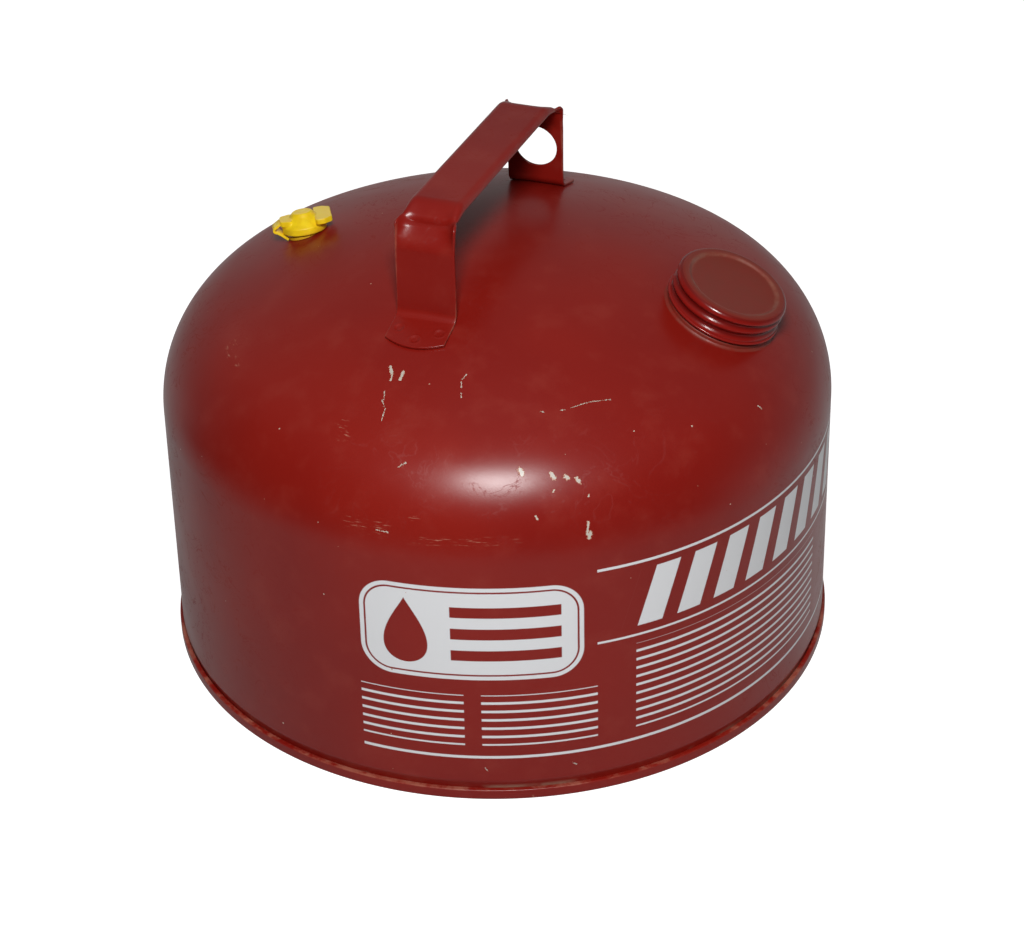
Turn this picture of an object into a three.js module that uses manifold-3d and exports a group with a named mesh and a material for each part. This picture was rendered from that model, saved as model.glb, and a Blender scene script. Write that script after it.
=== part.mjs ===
// Steel fuel can with a domed top, a strap handle, a screw cap on a tilted filler neck
// and a flip-up plastic vent. Millimetres, +Z up.
// The origin is the centre of the ring that the can stands on. +X points to the filler,
// +Y to the handle's leg that has the hole, and the vent is on the -X side.

import * as THREE from 'three';
import { mergeVertices } from 'three/addons/utils/BufferGeometryUtils.js';
import Module from 'manifold-3d';

const wasm = await Module();
wasm.setup();

// Clearances
const seatGap = 0.3;
const seamGap = 0.15;
const cutOverrun = 3;

// Can body: one drawn sheet, a slightly tapered wall under a dome of two arcs
const bodySheet = 0.6;
const shoulderRadius = 143;
const shoulderHeight = 112.2;
const wallTaper = 1.04;
const knuckleRadius = 49.4;
const crownRadius = 262.8;

// Bottom seam and pan
const chimeStand = 1.36;
const chimeHeight = 4.7;
const chimeBend = 0.7;
const wallPullIn = 4.5;
const compoundThickness = 0.5;
const panelHeight = 6.4;
const panelCorner = 2;
const panelStep = 1.6;
const panelRimWidth = 23;
const panelStepWidth = 5;

// Filler neck
const fillerFromShoulder = 44.3;
const neckSheet = 0.6;
const neckBoreRadius = 21;
const neckLipHeight = 10.9;
const neckLipRound = 0.5;
const neckFlangeWidth = 1.6;
const neckFlangeHeight = 1.2;
const neckFlangeBend = 0.7;
const neckFlangeEdge = 0.6;
const solderWidth = 0.8;
const solderHeight = 1.4;

// Screw thread, rolled into both sheets
const threadPitch = 4.5;
const threadDepth = 1.1;
const threadClearance = 0.4;
const threadRunOut = THREE.MathUtils.degToRad(26);
const capGrooveTurns = 1.7;
const capGrooveStart = THREE.MathUtils.degToRad(123);
const capGrooveRise = 1.7;
const neckThreadTurns = 1.2;
const neckThreadRise = 2.8;

// Screw cap
const capSheet = 0.5;
const capRimWidth = 5.5;
const capPanelDepth = 0.9;
const capPanelSlope = 0.9;
const capShoulderRadius = 2.5;
const capEdgeGap = 1;
const capCurl = 0.6;
const gasketThickness = 1.6;
const gasketWidth = 4.6;

// Strap handle
const strapSheet = 1.2;
const strapWidth = 25.4;
const strapShift = -4.4;
const handRoom = 35.8;
const legSpreadAtGrip = 60.4;
const legSpreadAtFoot = 63.4;
const footLength = 17.3;
const footEndRound = 3.8;
const gripBendRadius = 7.4;
const footBendRadius = 4.4;
const gripEdgeRadius = 2.5;
const gripEdgeLip = 0.4;
const gripEdgeAngle = THREE.MathUtils.degToRad(84);
const gripEdgeRunOut = 6;
const gripEdgeFade = 4;
const bendDish = 6;
const bendDishReach = 14;
const gripTwist = 0.9;
const spoutHoleRadius = 9.5;
const spoutHoleDrop = 25.8;
const spoutHoleShift = 0.7;
const weldRadius = 1.9;
const weldDepth = 0.3;
const weldFromTip = 4.2;
const weldRowSpacing = 4.9;
const weldSpread = 8.6;

// Vent
const ventFromShoulder = 56.2;
const ventTurn = THREE.MathUtils.degToRad(0.6);
const ventTwist = THREE.MathUtils.degToRad(31);
const bushBoreRadius = 5.2;
const bushWall = 1.4;
const bushFlangeWidth = 1.3;
const bushFlangeThickness = 1.1;
const bushBarb = 0.9;
const bushBarbLength = 2.6;
const bushSheetRoom = 0.4;
const ventCupWall = 1.2;
const ventCupOverhang = 0.5;
const ventCupHeight = 6.6;
const ventCupCrown = 0.5;
const ventCupSlope = 3.2;
const ventEdgeRound = 0.6;
const ventPlugTaper = 1.1;
const ventPlugLength = 3.4;
const ventCapTilt = THREE.MathUtils.degToRad(11);
const ventHumpRadius = 5.4;
const ventHumpRound = 1.2;
const ventHumpHeight = 1.6;
const ventPlateInset = 5;
const ventPlateThickness = 2.4;
const ventTabLength = 2.6;
const ventTabWidth = 19.2;
const ventTabEndWidth = 14;
const ventEarLength = 0.4;
const ventEarRootWidth = 12;
const ventEarWidth = 8.4;
const hingeStrapThickness = 1;
const hingeStrapWidth = 7;
const hingeSlotWidth = 2.4;
const hingeSlack = 2.2;
const hingeDrop = 0.9;
const hingeFoldRadius = 1.1;

// Smoothness of round forms
const bodySegments = 56;
const neckSegments = 32;
const ventSegments = 24;
const weldSegments = 8;
const threadRowHeight = 0.8;
const hingeSteps = 6;
const domeArcSteps = 6;
const crownArcSteps = 4;

const turn = Math.PI * 2;

// Sizes that follow from the ones above
const crownCentreHeight = shoulderHeight - Math.sqrt(
  (crownRadius - knuckleRadius) ** 2 - (shoulderRadius - knuckleRadius) ** 2,
);
const knuckleCentreRadius = shoulderRadius - knuckleRadius;
const crownKnuckleAngle = Math.atan2(knuckleCentreRadius, shoulderHeight - crownCentreHeight);
const wallFootRadius = shoulderRadius + wallTaper;
const chimeRadius = wallFootRadius + chimeStand;
const fillerOffset = shoulderRadius - fillerFromShoulder;
const ventOffset = shoulderRadius - ventFromShoulder;
const neckRootRadius = neckBoreRadius + neckSheet;
const neckFlangeRadius = neckRootRadius + neckFlangeWidth;
const neckHoleRadius = neckBoreRadius + seatGap;
const neckThreadHeight = neckFlangeHeight + neckThreadRise;
const capSkirtRadius = neckRootRadius + threadDepth + threadClearance + capSheet;
const capPanelRadius = capSkirtRadius - capRimWidth;
const capInnerTop = neckLipHeight + gasketThickness + 2 * seatGap;
const capTopHeight = capInnerTop + capSheet + capPanelDepth;
const capEdgeHeight = neckFlangeHeight + capEdgeGap;
const capGrooveHeight = capEdgeHeight + capGrooveRise;
const bushCollarRadius = bushBoreRadius + bushWall;
const bushHoleRadius = bushCollarRadius + seatGap;
const bushFlangeRadius = bushCollarRadius + bushFlangeWidth;
const bushFlangeTop = seatGap + bushFlangeThickness;
const ventCupRadius = bushFlangeRadius + ventCupOverhang + ventCupWall;
const ventCupBottom = bushFlangeTop + seatGap;
const ventCupTop = ventCupBottom + ventCupHeight;
const ventEarReach = ventCupRadius + ventEarLength;

// Height of the dome's outer surface at a distance from the can's axis
function domeHeight(distance) {
  const crownEdge = crownRadius * Math.sin(crownKnuckleAngle);
  if (distance <= crownEdge) {
    return crownCentreHeight + Math.sqrt(crownRadius ** 2 - distance ** 2);
  }
  return shoulderHeight + Math.sqrt(knuckleRadius ** 2 - (distance - knuckleCentreRadius) ** 2);
}

// How far the crown falls away below a tangent plane, at a distance from the touching point
function crownDrop(distance) {
  return crownRadius - Math.sqrt(crownRadius ** 2 - distance ** 2);
}

// Geometry whose equal vertices are shared and whose empty triangles are left out
function welded(geometry) {
  const bare = geometry.clone();
  bare.deleteAttribute('normal');
  bare.deleteAttribute('uv');
  const shared = mergeVertices(bare);
  const corners = shared.index.array;
  const kept = [];
  for (let i = 0; i < corners.length; i += 3) {
    const [a, b, c] = corners.slice(i, i + 3);
    if (a !== b && b !== c && c !== a) {
      kept.push(a, b, c);
    }
  }
  shared.setIndex(kept);
  shared.computeVertexNormals();
  return shared;
}

// A solid that can be joined and cut, from a closed geometry
function solidFrom(geometry) {
  const shared = welded(geometry);
  return new wasm.Manifold(new wasm.Mesh({
    numProp: 3,
    vertProperties: shared.attributes.position.array,
    triVerts: new Uint32Array(shared.index.array),
  }));
}

function geometryFrom(solid) {
  const mesh = solid.getMesh();
  const geometry = new THREE.BufferGeometry();
  geometry.setAttribute('position', new THREE.BufferAttribute(mesh.vertProperties, 3));
  geometry.setIndex(new THREE.BufferAttribute(mesh.triVerts, 1));
  geometry.computeVertexNormals();
  return geometry;
}

// A profile of [radius, height] pairs revolved round the Z axis
function lathe(profile, segments) {
  const points = profile.map(([radius, height]) => new THREE.Vector2(radius, height));
  return new THREE.LatheGeometry(points, segments).rotateX(Math.PI / 2);
}

// An upright cylinder between two heights
function post(radius, bottom, top, segments) {
  const geometry = new THREE.CylinderGeometry(radius, radius, top - bottom, segments);
  return geometry.rotateX(Math.PI / 2).translate(0, 0, (top + bottom) / 2);
}

// Points on an arc in a profile, from one angle to another, both ends included
function arcPoints(centreRadius, centreHeight, radius, startAngle, endAngle, steps) {
  return Array.from({ length: steps + 1 }, (_, i) => {
    const angle = THREE.MathUtils.lerp(startAngle, endAngle, i / steps);
    return [centreRadius + radius * Math.cos(angle), centreHeight + radius * Math.sin(angle)];
  });
}

// A surface of revolution whose profile, a closed loop of [radius, height] pairs, changes
// with the angle
function revolved(profileAt, segments) {
  const positions = [];
  const index = [];
  const pointCount = profileAt(0).length;
  for (let i = 0; i < segments; i += 1) {
    const angle = turn * i / segments;
    for (const [radius, height] of profileAt(angle)) {
      positions.push(radius * Math.cos(angle), radius * Math.sin(angle), height);
    }
    for (let j = 0; j < pointCount; j += 1) {
      const here = i * pointCount;
      const next = ((i + 1) % segments) * pointCount;
      const after = (j + 1) % pointCount;
      index.push(here + j, next + after, here + after, here + j, next + j, next + after);
    }
  }
  const geometry = new THREE.BufferGeometry();
  geometry.setAttribute('position', new THREE.Float32BufferAttribute(positions, 3));
  geometry.setIndex(index);
  return welded(geometry);
}

// A bent sheet of even thickness: middleAt(column, row) is a point of its middle surface
function bentSheet(middleAt, columns, rows, thickness) {
  const middle = (column, row) => middleAt(
    THREE.MathUtils.clamp(column, 0, columns),
    THREE.MathUtils.clamp(row, 0, rows),
  );
  const positions = [];
  const sides = [1, -1];
  for (const side of sides) {
    for (let row = 0; row <= rows; row += 1) {
      for (let column = 0; column <= columns; column += 1) {
        const across = middle(column + 1, row).sub(middle(column - 1, row));
        const along = middle(column, row + 1).sub(middle(column, row - 1));
        const normal = across.cross(along).normalize();
        const point = middle(column, row).addScaledVector(normal, side * thickness / 2);
        positions.push(point.x, point.y, point.z);
      }
    }
  }
  const layer = (columns + 1) * (rows + 1);
  const at = (column, row, side) => side * layer + row * (columns + 1) + column;
  const index = [];
  const quad = (a, b, c, d) => index.push(a, b, c, a, c, d);
  for (let row = 0; row < rows; row += 1) {
    for (let column = 0; column < columns; column += 1) {
      quad(at(column, row, 0), at(column + 1, row, 0), at(column + 1, row + 1, 0), at(column, row + 1, 0));
      quad(at(column, row, 1), at(column, row + 1, 1), at(column + 1, row + 1, 1), at(column + 1, row, 1));
    }
    quad(at(0, row, 1), at(0, row, 0), at(0, row + 1, 0), at(0, row + 1, 1));
    quad(at(columns, row, 0), at(columns, row, 1), at(columns, row + 1, 1), at(columns, row + 1, 0));
  }
  for (let column = 0; column < columns; column += 1) {
    quad(at(column, 0, 0), at(column, 0, 1), at(column + 1, 0, 1), at(column + 1, 0, 0));
    quad(at(column, rows, 1), at(column, rows, 0), at(column + 1, rows, 0), at(column + 1, rows, 1));
  }
  const geometry = new THREE.BufferGeometry();
  geometry.setAttribute('position', new THREE.Float32BufferAttribute(positions, 3));
  geometry.setIndex(index);
  return welded(geometry);
}

// A place on the dome, at an angle round the can: a group whose origin is on the surface, with
// +Z along the dome's normal and +X down the slope, then twisted about the normal
function placeOnDome(distance, angle, twist = 0) {
  const round = new THREE.Group();
  const place = new THREE.Group();
  round.rotation.z = angle;
  place.position.set(distance, 0, domeHeight(distance));
  place.rotation.y = Math.asin(distance / crownRadius);
  place.rotateZ(twist);
  round.add(place);
  round.updateMatrixWorld(true);
  return { round, place };
}

const filler = placeOnDome(fillerOffset, 0);
const vent = placeOnDome(ventOffset, Math.PI - ventTurn, ventTwist);

// Materials
function finish(color, roughness, metalness) {
  return new THREE.MeshStandardMaterial({ color, roughness, metalness });
}

const redPaint = finish(0x7d1f1b, 0.34, 0.2);
const capPaint = finish(0x74241e, 0.38, 0.2);
const yellowPlastic = finish(0xdcb41e, 0.45, 0);
const blackRubber = finish(0x1c1c1c, 0.85, 0);
const greyCompound = finish(0x6f6a62, 0.9, 0);

// Seam radii, from the outside in: the pan's outer wall, the body's hook, the pan's hook,
// the body's wall and the pan's inner wall
const seamStep = bodySheet + seamGap;
const bodyHookRadius = chimeRadius - seamStep;
const panHookRadius = bodyHookRadius - seamStep;
const seamWallRadius = panHookRadius - seamStep;
const panWallRadius = seamWallRadius - seamStep;
const bodyHookBottom = bodySheet + compoundThickness + 2 * seamGap;
const bodyHookTop = chimeHeight - bodySheet - seamGap;

// Dome profile from the shoulder to the axis, moved in by a depth
function domeProfile(depth) {
  const shoulderAngle = 0;
  const tangentAngle = Math.PI / 2 - crownKnuckleAngle;
  const knuckle = arcPoints(
    knuckleCentreRadius, shoulderHeight, knuckleRadius - depth, shoulderAngle, tangentAngle, domeArcSteps,
  );
  const crown = arcPoints(
    0, crownCentreHeight, crownRadius - depth, tangentAngle, Math.PI / 2, crownArcSteps,
  );
  crown[crown.length - 1][0] = 0;
  return [...knuckle, ...crown.slice(1)];
}

// Drawn shell: wall, dome and the hook at its foot, with holes for the neck and the vent
function bodyShell() {
  const pullInTop = chimeHeight + wallPullIn;
  const pullInMiddle = chimeHeight + wallPullIn / 2;
  const middleRadius = (seamWallRadius + wallFootRadius) / 2;
  const profile = [
    [seamWallRadius, bodyHookBottom + bodySheet],
    [seamWallRadius, chimeHeight],
    [middleRadius, pullInMiddle],
    [wallFootRadius, pullInTop],
    ...domeProfile(0),
    ...domeProfile(bodySheet).reverse(),
    [wallFootRadius - bodySheet, pullInTop],
    [middleRadius - bodySheet, pullInMiddle],
    [seamWallRadius - bodySheet, chimeHeight],
    [seamWallRadius - bodySheet, bodyHookBottom + bodySheet],
    [seamWallRadius, bodyHookBottom],
    [bodyHookRadius - bodySheet, bodyHookBottom],
    [bodyHookRadius, bodyHookBottom + bodySheet],
    [bodyHookRadius, bodyHookTop],
    [bodyHookRadius - bodySheet, bodyHookTop],
    [bodyHookRadius - bodySheet, bodyHookBottom + bodySheet],
    [seamWallRadius, bodyHookBottom + bodySheet],
  ];
  const neckHole = post(neckHoleRadius, -2 * cutOverrun, cutOverrun, neckSegments);
  const ventHole = post(bushHoleRadius, -cutOverrun, cutOverrun, ventSegments);
  neckHole.applyMatrix4(filler.place.matrixWorld);
  ventHole.applyMatrix4(vent.place.matrixWorld);
  const shell = solidFrom(lathe(profile, bodySegments))
    .subtract(solidFrom(neckHole))
    .subtract(solidFrom(ventHole));
  return geometryFrom(shell);
}

// Pan: a recessed panel with one pressed step, its wall, and the fold that grips the body's hook
function bottomPan() {
  const innerRadius = panWallRadius - bodySheet;
  const panelStepRadius = innerRadius - panelRimWidth;
  const stepIn = panelStepRadius - panelStepWidth;
  const panelTop = panelHeight + bodySheet;
  const profile = [
    [0, panelHeight + panelStep],
    [stepIn, panelHeight + panelStep],
    [panelStepRadius, panelHeight],
    [innerRadius - panelCorner, panelHeight],
    [innerRadius, panelHeight - panelCorner],
    [innerRadius, chimeBend],
    [innerRadius + chimeBend, 0],
    [chimeRadius - chimeBend, 0],
    [chimeRadius, chimeBend],
    [chimeRadius, chimeHeight - bodySheet],
    [chimeRadius - bodySheet, chimeHeight],
    [panHookRadius - bodySheet, chimeHeight],
    [panHookRadius - bodySheet, bodyHookBottom + bodySheet + seamGap],
    [panHookRadius, bodyHookBottom + bodySheet + seamGap],
    [panHookRadius, chimeHeight - bodySheet],
    [chimeRadius - bodySheet, chimeHeight - bodySheet],
    [chimeRadius - bodySheet, bodySheet],
    [panWallRadius, bodySheet],
    [panWallRadius, panelTop - panelCorner],
    [panWallRadius - panelCorner, panelTop],
    [panelStepRadius, panelTop],
    [stepIn, panelTop + panelStep],
    [0, panelTop + panelStep],
  ];
  return welded(lathe(profile, bodySegments));
}

// Sealing compound: a ring in the bottom of the seam's fold
function seamCompound() {
  const outer = chimeRadius - bodySheet - seamGap;
  const inner = panWallRadius + seamGap;
  const bottom = bodySheet + seamGap;
  const top = bottom + compoundThickness;
  const profile = [[inner, bottom], [outer, bottom], [outer, top], [inner, top], [inner, bottom]];
  return welded(lathe(profile, bodySegments));
}

// Share from 0 to 1 of a rolled thread's depth at an angle and a height: a smooth wave
// that climbs one pitch a turn and fades out at both ends
function threadShare(angle, height, start, startHeight, turns) {
  let share = 0;
  const fromStart = THREE.MathUtils.euclideanModulo(angle - start, turn);
  for (let travel = fromStart; travel <= turns * turn; travel += turn) {
    const centre = startHeight + threadPitch * travel / turn;
    const distance = Math.min(Math.abs(height - centre) / (threadPitch / 2), 1);
    const fade = THREE.MathUtils.smoothstep(Math.min(travel, turns * turn - travel), 0, threadRunOut);
    share = Math.max(share, fade * (1 + Math.cos(Math.PI * distance)) / 2);
  }
  return share;
}

// Heights of the rows of a threaded wall
function threadRows(bottom, top) {
  const count = Math.ceil((top - bottom) / threadRowHeight);
  return Array.from({ length: count + 1 }, (_, i) => THREE.MathUtils.lerp(bottom, top, i / count));
}

// Neck: a bore with the thread rolled outwards, and a flange whose turned-down edge
// stands on the dome
function fillerNeck() {
  const underside = neckFlangeHeight - neckSheet;
  const edgeInside = neckFlangeRadius - neckSheet;
  const rows = threadRows(neckFlangeHeight + neckFlangeBend, neckLipHeight - neckLipRound);
  // the neck's ridge lies half a pitch above the cap's groove
  const start = capGrooveStart
    + turn * (neckThreadHeight - capGrooveHeight - threadPitch / 2) / threadPitch;
  const profileAt = (angle) => {
    const push = (height) => threadDepth
      * threadShare(angle, height, start, neckThreadHeight, neckThreadTurns);
    return [
      [edgeInside, seatGap - crownDrop(edgeInside)],
      [neckFlangeRadius, seatGap - crownDrop(neckFlangeRadius)],
      [neckFlangeRadius, neckFlangeHeight - neckFlangeEdge],
      [neckFlangeRadius - neckFlangeEdge, neckFlangeHeight],
      [neckRootRadius + neckFlangeBend, neckFlangeHeight],
      ...rows.map((height) => [neckRootRadius + push(height), height]),
      [neckRootRadius - neckLipRound / 2, neckLipHeight],
      [neckBoreRadius + neckLipRound / 2, neckLipHeight],
      ...rows.map((height) => [neckBoreRadius + push(height), height]).reverse(),
      [neckBoreRadius + neckFlangeBend, underside],
      [edgeInside, underside],
    ];
  };
  return revolved(profileAt, neckSegments);
}

// Solder round the flange's edge, cut to the dome that it lies on
function neckSolder() {
  const inner = neckFlangeRadius + seatGap;
  const outer = inner + solderWidth;
  const foot = seatGap - crownDrop(neckFlangeRadius);
  const top = foot + solderHeight;
  const bottom = foot - cutOverrun;
  const profile = [
    [inner, bottom],
    [outer, bottom],
    [outer, foot],
    [inner + solderWidth / 2, foot + solderHeight / 3],
    [inner, top],
    [inner, bottom],
  ];
  const domeBlock = [[0, 0], [shoulderRadius, 0], ...domeProfile(-seatGap)];
  const ring = lathe(profile, neckSegments).applyMatrix4(filler.place.matrixWorld);
  const fitted = solidFrom(ring).subtract(solidFrom(lathe(domeBlock, bodySegments)));
  return geometryFrom(fitted).applyMatrix4(filler.place.matrixWorld.clone().invert());
}

// Screw cap: a recessed panel inside a rounded rim, a skirt with the thread rolled inwards,
// and a curled edge
function fillerCap() {
  const shoulderBottom = capTopHeight - capShoulderRadius;
  const shoulderCentre = capSkirtRadius - capShoulderRadius;
  const panelTop = capTopHeight - capPanelDepth;
  const curlTop = capEdgeHeight + 2 * capCurl;
  const rows = threadRows(curlTop, shoulderBottom);
  const shoulder = arcPoints(shoulderCentre, shoulderBottom, capShoulderRadius, 0, Math.PI / 2, 3);
  const shoulderInside = arcPoints(
    shoulderCentre, shoulderBottom, capShoulderRadius - capSheet, 0, Math.PI / 2, 3,
  );
  const curl = arcPoints(
    capSkirtRadius, capEdgeHeight + capCurl, capCurl, -Math.PI / 2, Math.PI / 3, 3,
  );
  const profileAt = (angle) => {
    const pull = (height) => threadDepth
      * threadShare(angle, height, capGrooveStart, capGrooveHeight, capGrooveTurns);
    return [
      [0, capInnerTop],
      [capPanelRadius, capInnerTop],
      [capPanelRadius + capPanelSlope, capTopHeight - capSheet],
      ...shoulderInside.slice(1).reverse(),
      ...rows.map((height) => [capSkirtRadius - capSheet - pull(height), height]).reverse(),
      [capSkirtRadius - capSheet, capEdgeHeight],
      ...curl,
      ...rows.map((height) => [capSkirtRadius - pull(height), height]),
      ...shoulder.slice(1),
      [capPanelRadius + capPanelSlope, capTopHeight],
      [capPanelRadius, panelTop],
      [0, panelTop],
    ];
  };
  return revolved(profileAt, neckSegments);
}

// Flat washer between the cap's panel and the neck's lip
function capGasket() {
  const top = capInnerTop - seatGap;
  const bottom = top - gasketThickness;
  const outer = capSkirtRadius - capSheet - threadDepth - seatGap;
  const inner = outer - gasketWidth;
  const profile = [[inner, bottom], [outer, bottom], [outer, top], [inner, top], [inner, bottom]];
  return welded(lathe(profile, neckSegments));
}

const footReach = legSpreadAtFoot + footLength;
const gripHeight = domeHeight(0) + handRoom + strapSheet;
const gripMiddleHeight = gripHeight - strapSheet / 2;
const spoutHoleHeight = gripHeight - spoutHoleDrop;

// The strap's middle line in the YZ plane: corners rounded by arcs, with the outward normal
// and the length so far at each station
function strapStations() {
  const lift = seatGap + strapSheet / 2;
  const spread = [footReach, legSpreadAtFoot, legSpreadAtGrip];
  const height = [domeHeight(footReach) + lift, domeHeight(legSpreadAtFoot) + lift, gripMiddleHeight];
  const front = spread.map((y, i) => new THREE.Vector2(-y, height[i]));
  const rear = spread.map((y, i) => new THREE.Vector2(y, height[i])).reverse();
  const corners = [...front, ...rear];
  const radii = [0, footBendRadius, gripBendRadius, gripBendRadius, footBendRadius, 0];
  const steps = [0, 4, 7, 7, 4, 0];
  const straightSteps = [3, 4, 6, 4, 3];
  const points = [];
  let straightStart = corners[0];
  for (let i = 1; i < corners.length; i += 1) {
    const inward = corners[i].clone().sub(corners[i - 1]).normalize();
    const outward = (corners[i + 1] ?? corners[i]).clone().sub(corners[i]).normalize();
    const angle = inward.angle() - outward.angle();
    const bend = Math.atan2(Math.sin(angle), Math.cos(angle));
    const cut = radii[i] * Math.tan(Math.abs(bend) / 2);
    const arcStart = corners[i].clone().addScaledVector(inward, -cut);
    for (let k = 0; k < straightSteps[i - 1]; k += 1) {
      points.push(straightStart.clone().lerp(arcStart, k / straightSteps[i - 1]));
    }
    const side = Math.sign(bend);
    const toCentre = new THREE.Vector2(inward.y, -inward.x).multiplyScalar(side * radii[i]);
    const centre = arcStart.clone().add(toCentre);
    for (let k = 0; k < steps[i]; k += 1) {
      points.push(arcStart.clone().rotateAround(centre, -bend * k / steps[i]));
    }
    straightStart = corners[i].clone().addScaledVector(outward, cut);
  }
  points.push(corners[corners.length - 1]);
  let length = 0;
  return points.map((point, i) => {
    const before = points[Math.max(i - 1, 0)];
    const after = points[Math.min(i + 1, points.length - 1)];
    length += point.distanceTo(before);
    const along = after.clone().sub(before).normalize();
    return { point, normal: new THREE.Vector2(-along.y, along.x), length };
  });
}

// The strap's cross-section at one station: places across the strap and out of its plane.
// Its edges turn down by the channel share, and its middle sinks by the dish share.
function strapSection(channelShare, dishShare) {
  const half = strapWidth / 2;
  const arcLength = gripEdgeRadius * gripEdgeAngle;
  const flat = half - arcLength - gripEdgeLip;
  const arc = (angle) => [flat + gripEdgeRadius * Math.sin(angle), -gripEdgeRadius * (1 - Math.cos(angle))];
  const arcEnd = arc(gripEdgeAngle);
  const lipEnd = [
    arcEnd[0] + gripEdgeLip * Math.cos(gripEdgeAngle),
    arcEnd[1] - gripEdgeLip * Math.sin(gripEdgeAngle),
  ];
  const folded = [[flat / 2, 0], [flat, 0], arc(gripEdgeAngle / 2), arcEnd, lipEnd];
  const open = [flat / 2, flat, flat + arcLength / 2, flat + arcLength, half];
  const halfSection = folded.map(([across, out], i) => {
    const place = THREE.MathUtils.lerp(open[i], across, channelShare);
    const sink = bendDish * dishShare * (1 - (place / half) ** 4);
    return [place, out * channelShare - sink];
  });
  const left = halfSection.map(([across, out]) => [-across, out]).reverse();
  return [...left, [0, -bendDish * dishShare], ...halfSection];
}

// Strap handle: a bent sheet with rounded feet on the dome, turned-down edges along the grip,
// dished top bends, the spout's hole in the rear leg and the marks of the spot welds
function handleStrap() {
  const stations = strapStations();
  const middle = stations[stations.length - 1].length / 2;
  const bendStation = stations.find(({ point }) => point.y > gripMiddleHeight - gripBendRadius / 3);
  const bendFromMiddle = middle - bendStation.length;
  const smooth = THREE.MathUtils.smoothstep;
  const sections = stations.map(({ length }) => {
    const fromMiddle = Math.abs(length - middle);
    const past = fromMiddle - bendFromMiddle;
    const channel = 1 - smooth(past, -gripEdgeRunOut, gripEdgeFade);
    const dish = 1 - smooth(Math.abs(past), 0, bendDishReach);
    return strapSection(channel, dish);
  });
  const middleAt = (column, row) => {
    const { point, normal, length } = stations[row];
    const [across, out] = sections[row][column];
    const fromTip = Math.min(length, 2 * middle - length);
    const footShare = 1 - smooth(fromTip, footLength, 2 * footLength);
    const roundShare = Math.max(1 - fromTip / footLength, 0);
    const inward = -Math.sign(point.x) * footEndRound * roundShare * (2 * across / strapWidth) ** 2;
    const riseShare = smooth(point.y, domeHeight(legSpreadAtFoot), gripMiddleHeight);
    const x = strapShift + across + gripTwist * riseShare * point.x / legSpreadAtGrip;
    const y = point.x + normal.x * out + inward;
    const slope = domeHeight(Math.hypot(x, y)) - domeHeight(Math.abs(point.x));
    return new THREE.Vector3(x, y, point.y + normal.y * out + slope * footShare);
  };
  const strap = bentSheet(middleAt, sections[0].length - 1, stations.length - 1, strapSheet);
  let solid = solidFrom(strap);
  const hole = post(spoutHoleRadius, -cutOverrun, cutOverrun, neckSegments)
    .rotateX(Math.PI / 2)
    .translate(strapShift + spoutHoleShift, (legSpreadAtGrip + legSpreadAtFoot) / 2, spoutHoleHeight);
  solid = solid.subtract(solidFrom(hole));
  for (const side of [-1, 1]) {
    for (const [acrossShare, row] of [[0, 0], [-1, 1], [1, 1]]) {
      const x = strapShift + acrossShare * weldSpread;
      const y = side * (footReach - weldFromTip - row * weldRowSpacing);
      const mark = placeOnDome(Math.hypot(x, y), Math.atan2(y, x));
      const bottom = seatGap + strapSheet - weldDepth;
      const dent = post(weldRadius, bottom, bottom + cutOverrun, weldSegments);
      solid = solid.subtract(solidFrom(dent.applyMatrix4(mark.place.matrixWorld)));
    }
  }
  return geometryFrom(solid);
}

// Vent bush: a flange on the dome, a collar through its hole and a barb behind the sheet
function ventBush() {
  const sheetBack = -bodySheet - bushSheetRoom - seatGap;
  const barbRadius = bushHoleRadius + bushBarb;
  const tail = sheetBack - bushBarbLength;
  const profile = [
    [bushBoreRadius, tail],
    [bushCollarRadius - bushBarb / 2, tail],
    [barbRadius, sheetBack - bushBarb / 2],
    [barbRadius, sheetBack],
    [bushCollarRadius, sheetBack],
    [bushCollarRadius, seatGap],
    [bushFlangeRadius, seatGap],
    [bushFlangeRadius, bushFlangeTop - ventEdgeRound],
    [bushFlangeRadius - ventEdgeRound, bushFlangeTop],
    [bushBoreRadius, bushFlangeTop],
    [bushBoreRadius, tail],
  ];
  return welded(lathe(profile, ventSegments));
}

// The closed cap leans away from its hinge, about the middle of the flange's top
function leaned(x, height) {
  const above = height - bushFlangeTop;
  return [
    x * Math.cos(ventCapTilt) - above * Math.sin(ventCapTilt),
    x * Math.sin(ventCapTilt) + above * Math.cos(ventCapTilt) + bushFlangeTop,
  ];
}

// The hinge turns about the middle of the folded strap, whose lower end meets the bush's
// flange and whose upper end meets the cap's ear
const ventCupEdge = ventCupTop - ventCupCrown;
const ventCupRim = ventCupEdge - ventCupSlope;
const ventEarMiddle = ventCupEdge - ventPlateThickness / 2;
const hingeLowerMiddle = seatGap + bushFlangeThickness / 2;
const [hingeUpperStart, hingeUpperMiddle] = leaned(ventEarReach + seatGap, ventEarMiddle);
const hingeHeight = hingeUpperMiddle - hingeDrop - hingeFoldRadius;
const hingeReach = hingeUpperStart + hingeSlack;

// A flat plate on the vent cap's sloping top: its widths at distances out to one side
function ventPlate(side, widths) {
  const near = widths.map(([x, width]) => new THREE.Vector2(side * x, width / 2));
  const far = near.map(({ x, y }) => new THREE.Vector2(x, -y)).reverse();
  const outline = new THREE.Shape([...near, ...far]);
  const plate = new THREE.ExtrudeGeometry(outline, { depth: ventPlateThickness, bevelEnabled: false });
  return solidFrom(plate.translate(0, 0, ventCupEdge - ventPlateThickness));
}

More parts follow.
